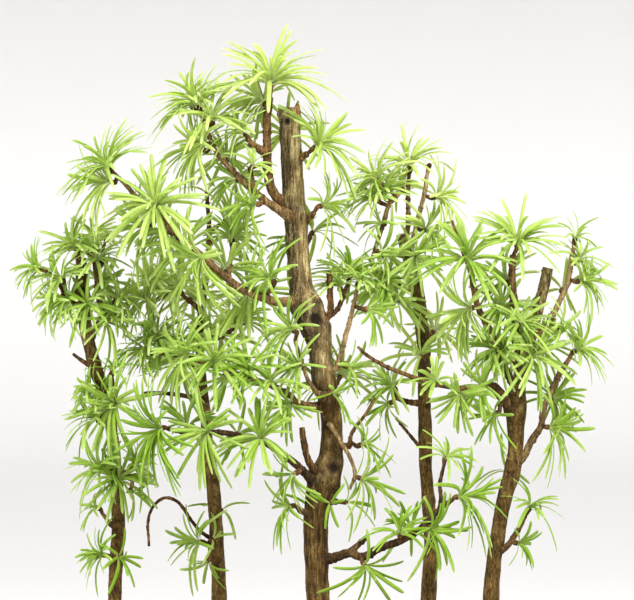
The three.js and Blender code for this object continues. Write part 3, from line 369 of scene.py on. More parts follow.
# Centres and radii on a smooth curve through a route, one every pitch millimetres.
def smoothed(line, pitch):
    ends = [(line[0][0] * 2 - line[1][0], line[0][1]), (line[-1][0] * 2 - line[-2][0], line[-1][1])]
    knots = [ends[0], *line, ends[1]]
    samples = []
    for a, b, c, d in zip(knots, knots[1:], knots[2:], knots[3:]):
        steps = max(1, round((c[0] - b[0]).length / (pitch * mm)))
        for step in range(steps):
            t = step / steps
            weights = (
                -0.5 * t + t * t - 0.5 * t**3,
                1 - 2.5 * t * t + 1.5 * t**3,
                0.5 * t + 2 * t * t - 1.5 * t**3,
                -0.5 * t * t + 0.5 * t**3,
            )
            centre = Vector((0, 0, 0))
            radius = 0
            for weight, knot in zip(weights, (a, b, c, d)):
                centre += knot[0] * weight
                radius += knot[1] * weight
            samples.append((centre, radius))
    return [*samples, line[-1]]


def newForm():
    return {"points": [], "faces": [], "slots": [], "stain": [], "grey": [], "outward": []}


def addPoint(form, point, stain=0, grey=0, outward=0):
    for key, value in (("points", point), ("stain", stain), ("grey", grey), ("outward", outward)):
        form[key].append(value)


def addFace(form, corners, slot):
    form["faces"].append(corners)
    form["slots"].append(slot)


# Faces between two rings of points, which start at first and at second.
def joinRings(form, first, second, around, slot=0):
    for k in range(around):
        after = (k + 1) % around
        addFace(form, (first + k, first + after, second + after, second + k), slot)


# Adds a closed tube. Relief gives how far a point stands out, how dark it is from stains and from painted
# shade, and how grey.
def addTube(form, line, around, relief, dome, slot=0, endSlot=None):
    start = len(form["points"])
    side = Vector((0.93, 0.1, 0.35))
    travelled = 0
    for i, (centre, radius) in enumerate(line):
        before = line[max(i - 1, 0)][0]
        after = line[min(i + 1, len(line) - 1)][0]
        along = (after - before).normalized()
        side = (side - along * side.dot(along)).normalized()
        other = along.cross(side)
        travelled += (centre - before).length
        for k in range(around):
            turn = 2 * math.pi * k / around
            way = side * math.cos(turn) + other * math.sin(turn)
            out, stain, grey = relief(centre + way * radius, radius, travelled, turn)
            addPoint(form, centre + way * (radius + out), stain, grey, 1)
    last = start + (len(line) - 1) * around
    for first in range(start, last, around):
        joinRings(form, first, first + around, around, slot)
    foot = len(form["points"])
    addPoint(form, line[0][0])
    for k in range(around):
        addFace(form, (foot, start + (k + 1) % around, start + k), slot)
    addEnd(form, last, around, line[-1], along, dome, endSlot or slot)


# Closes a tube's last ring: rounded off, or cut flat where the dome is 0.
def addEnd(form, first, around, last, along, dome, slot):
    centre, radius = last
    ring = first
    for share in (0.9, 0.72, 0.45, 0.2):
        height = dome * radius * math.sqrt(1 - share * share)
        following = len(form["points"])
        for k in range(first, first + around):
            point = centre + (form["points"][k] - centre) * share + along * height
            addPoint(form, point, form["stain"][k], form["grey"][k], share)
        joinRings(form, ring, following, around, slot)
        ring = following
    tip = len(form["points"])
    addPoint(form, centre + along * dome * radius)
    for k in range(around):
        addFace(form, (ring + k, ring + (k + 1) % around, tip), slot)


def meshOf(form, name, materials):
    mesh = bpy.data.meshes.new(name)
    mesh.from_pydata(form["points"], [], form["faces"])
    for material in materials:
        mesh.materials.append(material)
    mesh.polygons.foreach_set("material_index", form["slots"])
    mesh.polygons.foreach_set("use_smooth", [True] * len(form["faces"]))
    for kind in ("stain", "grey", "outward"):
        mesh.attributes.new(kind, "FLOAT", "POINT").data.foreach_set("value", form[kind])
    mesh.update()
    return mesh


def newObject(name, mesh):
    obj = bpy.data.objects.new(name, mesh)
    scene.collection.objects.link(obj)
    return obj


# What an object's modifiers make of it, as its own plain mesh, with the modifiers gone again.
def settle(obj):
    graph = bpy.context.evaluated_depsgraph_get()
    mesh = bpy.data.meshes.new_from_object(obj.evaluated_get(graph), depsgraph=graph)
    obj.modifiers.clear()
    obj.data = mesh


def join(obj, others):
    chosen = {"active_object": obj, "object": obj, "selected_editable_objects": [obj, *others]}
    with bpy.context.temp_override(**chosen):
        bpy.ops.object.join()


def finished(obj, node):
    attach(obj, "root")
    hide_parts(node)


# Each trunk: its route, its stubs, and its marks. Bark above the line greyAbove on the sheet has
# gone grey, over fade units, and shade is painted shade that darkens that grey bark on its left
# side, away from the key light. Knots stand on the front as [across, down, size, height, how
# pale], where a height below 0 is a hollow, painted dark with shade, and a paleness below 0 is dark.
trunks = {
  "trunk_far_left": {
    "route": [[123, 746, 34, 9.6], [121, 722, 35, 8.8], [117, 680, 37, 7.4], [115, 630, 38, 6.9],
      [115, 585, 39, 6.8], [118, 530, 40, 6.7], [117, 490, 40, 6.5], [114, 450, 40, 6.1],
      [111, 425, 40, 6], [104, 392, 39, 6.4], [96, 370, 38, 6.6], [90, 348, 38, 6.3], [86, 328, 38, 6.5],
      [83, 305, 38, 6.5], [82, 282, 38, 6.3], [81, 258, 38, 5.6]],
    "stubs": [[[95, 367, 38, 2.4], [84, 362, 33, 2.1], [73, 354, 30, 1.4]]],
    "greyAbove": 352, "fade": 16, "shade": 0,
    "knots": [[91, 372, 5, 1.2, 0], [113, 425, 4, 1, 0], [118, 560, 5, 1, 0], [82, 300, 4, 1, 0]],
  },
  "trunk_left": {
    "route": [[224, 746, 66, 11], [222, 722, 67, 10.4], [221, 680, 68, 8.8], [220, 630, 69, 8.2],
      [219, 585, 70, 7.5], [217, 550, 70, 7], [215, 510, 70, 6.8], [212, 478, 70, 6.7], [208, 450, 70, 6],
      [206, 420, 70, 5.5], [203, 390, 69, 5], [200, 355, 68, 4.2], [200, 325, 67, 3.6],
      [204, 295, 66, 2.9], [208, 265, 65, 2.6], [209, 238, 64, 2.4]],
    "stubs": [[[214, 540, 68, 2], [200, 531, 62, 1.7], [189, 517, 57, 1.6], [178, 502, 54, 1.6],
      [164, 498, 52, 1.5], [153, 507, 50, 1.5], [148, 522, 50, 1.4], [149, 546, 52, 1.2]],
      [[203, 400, 69, 2.8], [180, 395, 62, 2.2], [158, 393, 58, 1.9], [142, 393, 56, 1.4]]],
    "greyAbove": 120, "fade": 16, "shade": 0,
    "knots": [[218, 545, 4, 1.2, 0], [205, 400, 4, 1, 0], [214, 480, 4, 0.8, 0]],
  },
  "trunk_main": {
    "route": [[323, 746, 4, 19], [322, 724, 4, 17.5], [320, 695, 3, 14.5], [319, 650, 2, 12.4],
      [318, 600, 1, 11.5], [316, 550, 0, 12], [316, 515, 0, 12.4], [321, 492, -1, 14.8],
      [324, 480, -1, 15.8], [331, 455, 0, 11.8], [332, 425, 0, 10.6], [329, 402, 0, 10.6],
      [324, 380, 0, 12], [321, 357, 0, 11.4], [318, 337, 0, 13.6], [311, 318, 0, 15.5],
      [305, 303, 0, 15.8], [301, 286, 0, 12], [298, 255, 0, 11.2], [296, 220, 0, 11.4],
      [293, 185, 0, 10.9], [291, 150, 0, 10.6], [289, 108, 0, 10.4]],
    "stubs": [[[317, 474, -6, 4], [308, 460, -13, 3.4], [304, 443, -14, 3.1], [302, 428, -14, 2.8]],
      [[320, 326, -4, 3.6], [330, 312, -7, 3.2], [330, 292, -6, 3], [329, 272, -5, 2.8]],
      [[295, 116, -3, 4.6], [297, 109, -4, 3.2], [298, 101, -4, 0.8]]],
    "greyAbove": 392, "fade": 34, "shade": 0.5,
    "knots": [[280, 115, 4, 3.4, 1], [287, 122, 4, -4, 0], [295, 115, 3, 1.8, 1], [291, 157, 3, 1.2, 0],
      [288, 200, 7, 3.4, 0], [296, 208, 4, 1.4, 0], [292, 243, 3, 1, 0], [296, 298, 4, 2, 0.8],
      [305, 299, 4, 2.4, 0.8], [314, 302, 4, 2, 0.5], [316, 319, 7, -2.2, 0], [327, 326, 7, 3.4, -0.4],
      [303, 314, 9, 1.2, -0.5], [315, 311, 7, 1.4, -0.4], [312, 333, 12, 1, -0.3],
      [306, 330, 8, 1.6, -0.2], [327, 408, 6, 3, 0], [321, 402, 4, 2, 0], [332, 467, 12, 6, 0.4],
      [333, 467, 6, -6.4, 0], [320, 478, 6, 2.4, 0.5], [337, 485, 5, 2, 0], [315, 470, 6, -1.6, 0],
      [330, 440, 4, 1.8, 0.4], [326, 425, 5, -1, 0], [309, 540, 5, 1.2, 0], [322, 590, 4, 1, 0],
      [311, 575, 4, 0.9, 0]],
  },
  "trunk_right": {
    "route": [[421, 746, 52, 11], [423, 722, 52, 10.2], [425, 680, 53, 8.8], [427, 630, 54, 7.8],
      [429, 585, 55, 7.9], [431, 550, 55, 6.8], [429, 510, 55, 6.5], [426, 470, 55, 6.4],
      [425, 430, 55, 6.7], [424, 395, 55, 6.4], [424, 350, 54, 6.8], [421, 320, 53, 6.6],
      [418, 294, 52, 6.5], [411, 268, 50, 5.8], [402, 234, 46, 6]],
    "stubs": [[[425, 452, 52, 2], [414, 440, 42, 1.7], [396, 418, 36, 1.3]]],
    "greyAbove": 250, "fade": 20, "shade": 0,
    "knots": [[428, 405, 4, 1.8, 0], [433, 500, 4, 1.6, 0], [418, 290, 4, 1.2, 0], [426, 360, 3, 1, 0]],
  },
  "trunk_far_right": {
    "route": [[477, 746, 16, 12], [479, 722, 16, 11], [484, 680, 16, 9.2], [488, 635, 15, 8.4],
      [491, 600, 15, 8.1], [493, 572, 15, 7.8], [497, 540, 15, 7.4], [501, 515, 15, 7.5],
      [506, 492, 15, 7.6], [512, 472, 15, 8.6], [515, 452, 15, 7.8], [516, 428, 15, 8.4],
      [516, 405, 15, 10.6], [518, 390, 15, 8], [521, 374, 16, 5.6], [525, 353, 18, 5.5],
      [531, 335, 20, 5.9], [537, 312, 21, 6], [543, 290, 22, 5.6], [548, 268, 22, 5.5]],
    "stubs": [],
    "greyAbove": 400, "fade": 40, "shade": 0,
    "knots": [[513, 402, 7, 2, 0], [512, 440, 4, 1.2, 0], [506, 488, 4, 1.2, 0], [494, 552, 4, 1, 0]],
  },
}


# The place on a trunk's front at a point on the sheet.
def onBark(line, across, down):
    best = None
    for centre, radius in line:
        place = placed([across, down, (centre.y / mm + sheet["forward"]) / sheet["unit"]])
        if best is None or abs(place.z - centre.z) < abs(best[0].z - best[1].z):
            best = place, centre, radius
    place, centre, radius = best
    depth = math.sqrt(max(radius**2 - (place.x - centre.x) ** 2, 0))
    return Vector((place.x, centre.y - depth, place.z))


# Noise as coarse as size in mm, drawn out upwards where rise is below 1.
def grainAt(point, size, rise=1.0):
    return noise.noise(Vector((point.x, point.y, point.z * rise)) / (size * mm))


def held(value):
    return min(1, max(0, value))


def barkRelief(line, marks, strength):
    greyHeight = placed([0, marks["greyAbove"], 0]).z
    fade = marks["fade"] * mm
    soilHeight = wood["soilTop"] * mm
    places = [
        (onBark(line, across, down), size * sheet["unit"] * mm, height * sheet["unit"] * mm, pale)
        for across, down, size, height, pale in marks["knots"]
    ]

    def relief(point, radius, travelled, turn):
        grey = held((point.z - greyHeight) / fade + 0.7 * grainAt(point, 7))
        plates = grainAt(point, wood["plateWide"], 0.08)
        split = grainAt(point, 6, 0.25)
        crack = math.exp(-((plates / 0.06) ** 2)) * held(0.05 + 0.75 * grey + 0.6 * split)
        fibres = grainAt(point, wood["fibreWide"], 0.1)
        pits = grainAt(point, wood["pitWide"])
        lumps = grainAt(point, wood["lumpWide"]) * wood["lump"] * radius
        fine = fibres * wood["fibre"] - crack * wood["crack"] + max(0, pits) * wood["pit"]
        out = fine * mm * strength + lumps
        # painted shade darkens the cracks cut into the bark, and the pits are dark pores
        stain = 0.45 * crack + 0.5 * max(0, pits - 0.25)
        # painted shade: the grey bark is darker on its left side, away from the key light
        stain += marks["shade"] * grey * held(0.25 - 1.1 * math.cos(turn) + 0.5 * split)
        for place, size, height, pale in places:
            near = math.exp(-(((point - place).length / size) ** 2))
            out += height * near
            grey = max(grey, pale * near)
            # a hollow knot is painted dark, shade inside it, and raised knots are darker or paler wood
            stain = max(stain * (1 - pale * near), near * (1.3 if height < 0 else 0.5 * (1 - pale)))
        above = (point.z - soilHeight) / mm
        if above < wood["flareEnd"]:
            spread = math.exp(-max(above, 0) / wood["flareRise"]) * wood["flare"]
            out += radius * spread * (0.55 + 0.45 * math.cos(5 * turn + 2 * lumps / mm))
        return out, min(1, stain), grey

    return relief


# Twigs: uneven, with the rings of each year's bud scales and an old bud here and there. They
# swell where they leave the wood they grow on.
def twigRelief(seed, tan=0.0, dark=0.0, swell=wood["collar"]):
    offset = Vector((seed * 3.7, seed * 1.3, 0))
    every = wood["budEvery"] * mm
    wide = wood["budWide"]

    def relief(point, radius, travelled, turn):
        lumps = noise.noise(point / (2.2 * mm) + offset) * 0.2 * radius
        ringed = max(0, noise.noise(Vector((travelled / (wood["ringWide"] * mm), seed, 0.5)))) ** 1.5
        stout = min(1, radius / (wood["stout"] * mm))
        number = round(travelled / every)
        beside = (travelled - number * every) / mm
        aside = math.remainder(turn - 2.4 * number - seed, 2 * math.pi) * radius / mm
        bud = math.exp(-((beside / wide) ** 2) - (aside / wide) ** 2)
        out = lumps + (ringed * wood["ringOut"] + bud * wood["budOut"]) * mm * stout
        collar = radius * swell * math.exp(-travelled / (wood["collarRise"] * swell * mm))
        return out + collar, min(1, dark + ringed * 0.9 + bud * 0.45), tan

    return relief


for name, tree in trunks.items():
    isMain = name == "trunk_main"
    around = wood["mainAround"] if isMain else wood["trunkAround"]
    strength = wood["mainRelief"] if isMain else wood["trunkRelief"]
    line = smoothed(laidOut(tree["route"]), wood["trunkPitch"])
    form = newForm()
    addTube(form, line, around, barkRelief(line, tree, strength), 0, 0, 1)
    for stub in tree["stubs"]:
        line = smoothed(laidOut(stub), wood["stemPitch"])
        addTube(form, line, wood["stubAround"], twigRelief(stub[0][0]), 0.3, 2)
    bark = mainBark if isMain else trunkBark
    obj = newObject(name + "_wood", meshOf(form, name, [bark, sawnWood, twigBark]))
    finished(obj, name)
print("trunks made")


# Needles: flat, soft and blunt, in an umbrella on each short shoot


needles = {
    "width": 2.7,  # mm at the widest place
    "thickness": 0.75,
    "segments": 8,
    "fewest": 9,  # needles on the smallest spray
    "perLength": 0.34,  # more needles for each sheet unit of length
    "upright": 12,  # degrees from the bud's aim to the innermost needles
    "skirt": 68,  # degrees to the outermost
    "arch": 0.68,  # how far they arch away from the aim, as a share of their length
    "sag": 0.2,
    "budRadius": 1.1,
}


# A geometry tree with named inputs for its sizes, a function that adds its nodes, and what its
# inputs give.
def newTree(name, source, sizes):
    tree = bpy.data.node_groups.new(name, "GeometryNodeTree")
    tree.interface.new_socket(source, in_out="INPUT", socket_type="NodeSocketGeometry")
    for label, value in {**sizes, "Seed": 0}.items():
        kind = "NodeSocketInt" if isinstance(value, int) else "NodeSocketFloat"
        tree.interface.new_socket(label, in_out="INPUT", socket_type=kind).default_value = value
    tree.interface.new_socket("Geometry", in_out="OUTPUT", socket_type="NodeSocketGeometry")
    add = partial(addNode, tree)
    return tree, add, add("NodeGroupInput").outputs


# Makes the object what the tree gives for this seed.
def grow(obj, tree, seed):
    modifier = obj.modifiers.new(tree.name, "NODES")
    modifier.node_group = tree
    modifier[tree.interface.items_tree["Seed"].identifier] = seed
    settle(obj)


# Buds are points with an aim, a reach, a spin and a number of needles. A needle is drawn along +Z,
# turned by the golden angle round its bud, leans further out than the one before, and is bent last.
def makeNeedleTree(material):
    sizes = {
        "Width": needles["width"] * mm,
        "Thickness": needles["thickness"] * mm,
        "Segments": needles["segments"],
        "Upright": math.radians(needles["upright"]),
        "Skirt": math.radians(needles["skirt"]),
        "Arch": needles["arch"],
        "Sag": needles["sag"],
        "Bud Radius": needles["budRadius"] * mm,
    }
    tree, add, given = newTree("larch needles", "Buds", sizes)
    kinds = {
        "needles": "INT",
        "aim": "FLOAT_VECTOR",
        "reach": "FLOAT",
        "spin": "FLOAT",
        "along": "FLOAT",
        "turned": "QUATERNION",
        "bend": "FLOAT_VECTOR",
    }
    read = {}
    for name, kind in kinds.items():
        read[name] = add("GeometryNodeInputNamedAttribute", {"data_type": kind, "Name": name})

    line = add("GeometryNodeCurvePrimitiveLine", {"End": (0, 0, 1)})
    fine = add("GeometryNodeResampleCurve", {"Curve": line, "Count": given["Segments"]})
    place = add("GeometryNodeSplineParameter")
    # closer together towards the tip, where the needle rounds off
    heights = [(0, 0), (0.5, 0.66), (0.86, 0.975), (1, 1)]
    height = add("ShaderNodeFloatCurve", {"Value": place, "stops": heights})
    upward = add("ShaderNodeCombineXYZ", {"Z": height})
    spaced = add("GeometryNodeSetPosition", {"Geometry": fine, "Position": upward})
    mark = {"data_type": "FLOAT", "domain": "POINT", "Name": "along", "Value": place}
    marked = add("GeometryNodeStoreNamedAttribute", {"Geometry": spaced, **mark})
    widths = [(0, 0.5), (0.08, 0.68), (0.25, 0.92), (0.5, 1), (0.85, 0.98), (0.95, 0.8), (0.985, 0.5)]
    outline = add("ShaderNodeFloatCurve", {"Value": place, "stops": [*widths, (1, 0.16)]})
    circle = {"mode": "RADIUS", "Resolution": 6, "Radius": 0.5}
    ring = add("GeometryNodeCurvePrimitiveCircle", circle)
    section = add("ShaderNodeCombineXYZ", {"X": given["Thickness"], "Y": given["Width"], "Z": 1})
    flat = add("GeometryNodeTransform", {"Geometry": ring, "Scale": section})
    sweep = {"Curve": marked, "Profile Curve": flat, "Scale": outline, "Fill Caps": True}
    needle = add("GeometryNodeCurveToMesh", sweep)

    amount = {"domain": "POINT", "Geometry": given["Buds"], "Amount": read["needles"]}
    copies = add("GeometryNodeDuplicateElements", amount)
    order = copies.outputs["Duplicate Index"]
    ranges = {
        "turn": (-0.55, 0.55),
        "lean": (-0.16, 0.16),
        "length": (0.72, 1.0),
        "arch": (0.45, 1.35),
        "stray": (-0.1, 0.1),
        "twist": (-0.6, 0.6),
        "tint": (0, 1),
        "width": (0.8, 1.12),
    }
    chance = {}
    for number, (name, (least, most)) in enumerate(ranges.items()):
        seed = add("ShaderNodeMath", "ADD", given["Seed"], number)
        span = {"data_type": "FLOAT", "Min_001": least, "Max_001": most, "Seed": seed}
        chance[name] = add("FunctionNodeRandomValue", span)

    half = add("ShaderNodeMath", "ADD", order, 0.5)
    share = add("ShaderNodeMath", "DIVIDE", half, read["needles"])
    top = add("ShaderNodeMath", "COSINE", given["Upright"])
    low = add("ShaderNodeMath", "COSINE", given["Skirt"])
    levels = {"clamp": False, "Value": share, "To Min": top, "To Max": low}
    level = add("ShaderNodeMapRange", levels)
    strewn = add("ShaderNodeMath", "ADD", level, chance["lean"])
    lean = add("ShaderNodeMath", "ARCCOSINE", strewn)
    golden = add("ShaderNodeMath", "MULTIPLY_ADD", order, 2.39996, read["spin"])
    turn = add("ShaderNodeMath", "ADD", golden, chance["turn"])
    axes = {"primary_axis": "Z", "secondary_axis": "X", "Secondary Axis": (0.31, 0.22, 0.93)}
    facing = add("FunctionNodeAxesToRotation", {"Primary Axis": read["aim"], **axes})
    # first the lean and the turn round the bud, then a twist of the needle itself
    rotations = [facing]
    for angles in ({"Y": lean, "Z": turn}, {"Z": chance["twist"]}):
        euler = add("ShaderNodeCombineXYZ", angles)
        by = add("FunctionNodeEulerToRotation", {"Euler": euler})
        both = {"rotation_space": "LOCAL", "Rotation": rotations[-1], "Rotate By": by}
        rotations.append(add("FunctionNodeRotateRotation", both))
    rotation, twisted = rotations[1:]
    # the innermost needles are the youngest
    shorter = add("ShaderNodeMapRange", {"To Min": 0.81, "To Max": 0.93, "Value": share})
    whole = add("ShaderNodeMath", "MULTIPLY", read["reach"], shorter)
    span = add("ShaderNodeMath", "MULTIPLY", whole, chance["length"])
    way = add("FunctionNodeRotateVector", {"Vector": (0, 0, 1), "Rotation": rotation})
    radius = given["Bud Radius"]
    start = add("ShaderNodeVectorMath", {"operation": "SCALE", "Vector": way, "Scale": radius})
    stored = add("GeometryNodeSetPosition", {"Geometry": copies, "Offset": start})
    arch = add("ShaderNodeMath", "MULTIPLY", chance["arch"], given["Arch"])
    # an upright needle hardly sags
    wayUp = add("ShaderNodeSeparateXYZ", {"Vector": way}).outputs["Z"]
    slack = add("ShaderNodeMapRange", {"From Min": 1.0, "From Max": 0.25, "Value": wayUp})
    sag = add("ShaderNodeMath", "MULTIPLY", slack, given["Sag"])
    bend = add("ShaderNodeCombineXYZ", {"X": arch, "Y": chance["stray"], "Z": sag})
    bendBy = add("ShaderNodeVectorMath", {"operation": "SCALE", "Vector": bend, "Scale": span})
    for name, kind, value in (
        ("turned", "QUATERNION", rotation),
        ("bend", "FLOAT_VECTOR", bendBy),
        ("tint", "FLOAT", chance["tint"]),
    ):
        mark = {"data_type": kind, "domain": "POINT", "Name": name, "Value": value}
        stored = add("GeometryNodeStoreNamedAttribute", {"Geometry": stored, **mark})
    # longer needles are wider too
    growth = {"From Min": 0.024, "From Max": 0.048, "To Min": 0.9, "To Max": 1.2}
    broader = add("ShaderNodeMapRange", {"Value": read["reach"], **growth})
    breadth = add("ShaderNodeMath", "MULTIPLY", chance["width"], broader)
    size = add("ShaderNodeCombineXYZ", {"X": breadth, "Y": breadth, "Z": span})
    each = {"Points": stored, "Instance": needle, "Rotation": twisted, "Scale": size}
    standing = add("GeometryNodeInstanceOnPoints", each)
    real = add("GeometryNodeRealizeInstances", {"Geometry": standing})

    # each needle arches away from the aim, strays sideways and sags
    along = read["along"]
    squared = add("ShaderNodeMath", "MULTIPLY", along, along)
    bow = add("ShaderNodeMath", "MULTIPLY_ADD", along, -0.25, squared)
    shares = add("ShaderNodeCombineXYZ", {"X": bow, "Y": squared, "Z": squared})
    moves = add("ShaderNodeVectorMath", "MULTIPLY", read["bend"], shares)
    moved = add("ShaderNodeSeparateXYZ", {"Vector": moves}).outputs
    sideways = add("ShaderNodeCombineXYZ", {"X": moved["X"], "Y": moved["Y"]})
    arched = add("FunctionNodeRotateVector", {"Vector": sideways, "Rotation": read["turned"]})
    drop = add("ShaderNodeCombineXYZ", {"Z": moved["Z"]})
    offset = add("ShaderNodeVectorMath", "SUBTRACT", arched, drop)
    curved = add("GeometryNodeSetPosition", {"Geometry": real, "Offset": offset})
    for name in ("turned", "bend", "aim", "reach", "spin", "needles"):
        curved = add("GeometryNodeRemoveAttribute", {"Name": name, "Geometry": curved})
    smooth = add("GeometryNodeSetShadeSmooth", {"Geometry": curved})
    green = add("GeometryNodeSetMaterial", {"Material": material, "Geometry": smooth})
    add("NodeGroupOutput", {"Geometry": green})
    return tree


# Leafy shoots: stems, ringed short shoots and the needles on them


spur = {
    "pitch": 0.55,  # mm between its rings of scales
    "foot": 1.15,  # mm radius where it leaves the stem
    "bud": 1.75,
    "scale": 0.28,  # mm that a ring of scales stands out
    "around": 9,
    "lift": 0.3,  # how far its aim turns up to the light, the aim on the sheet being 1 long
}

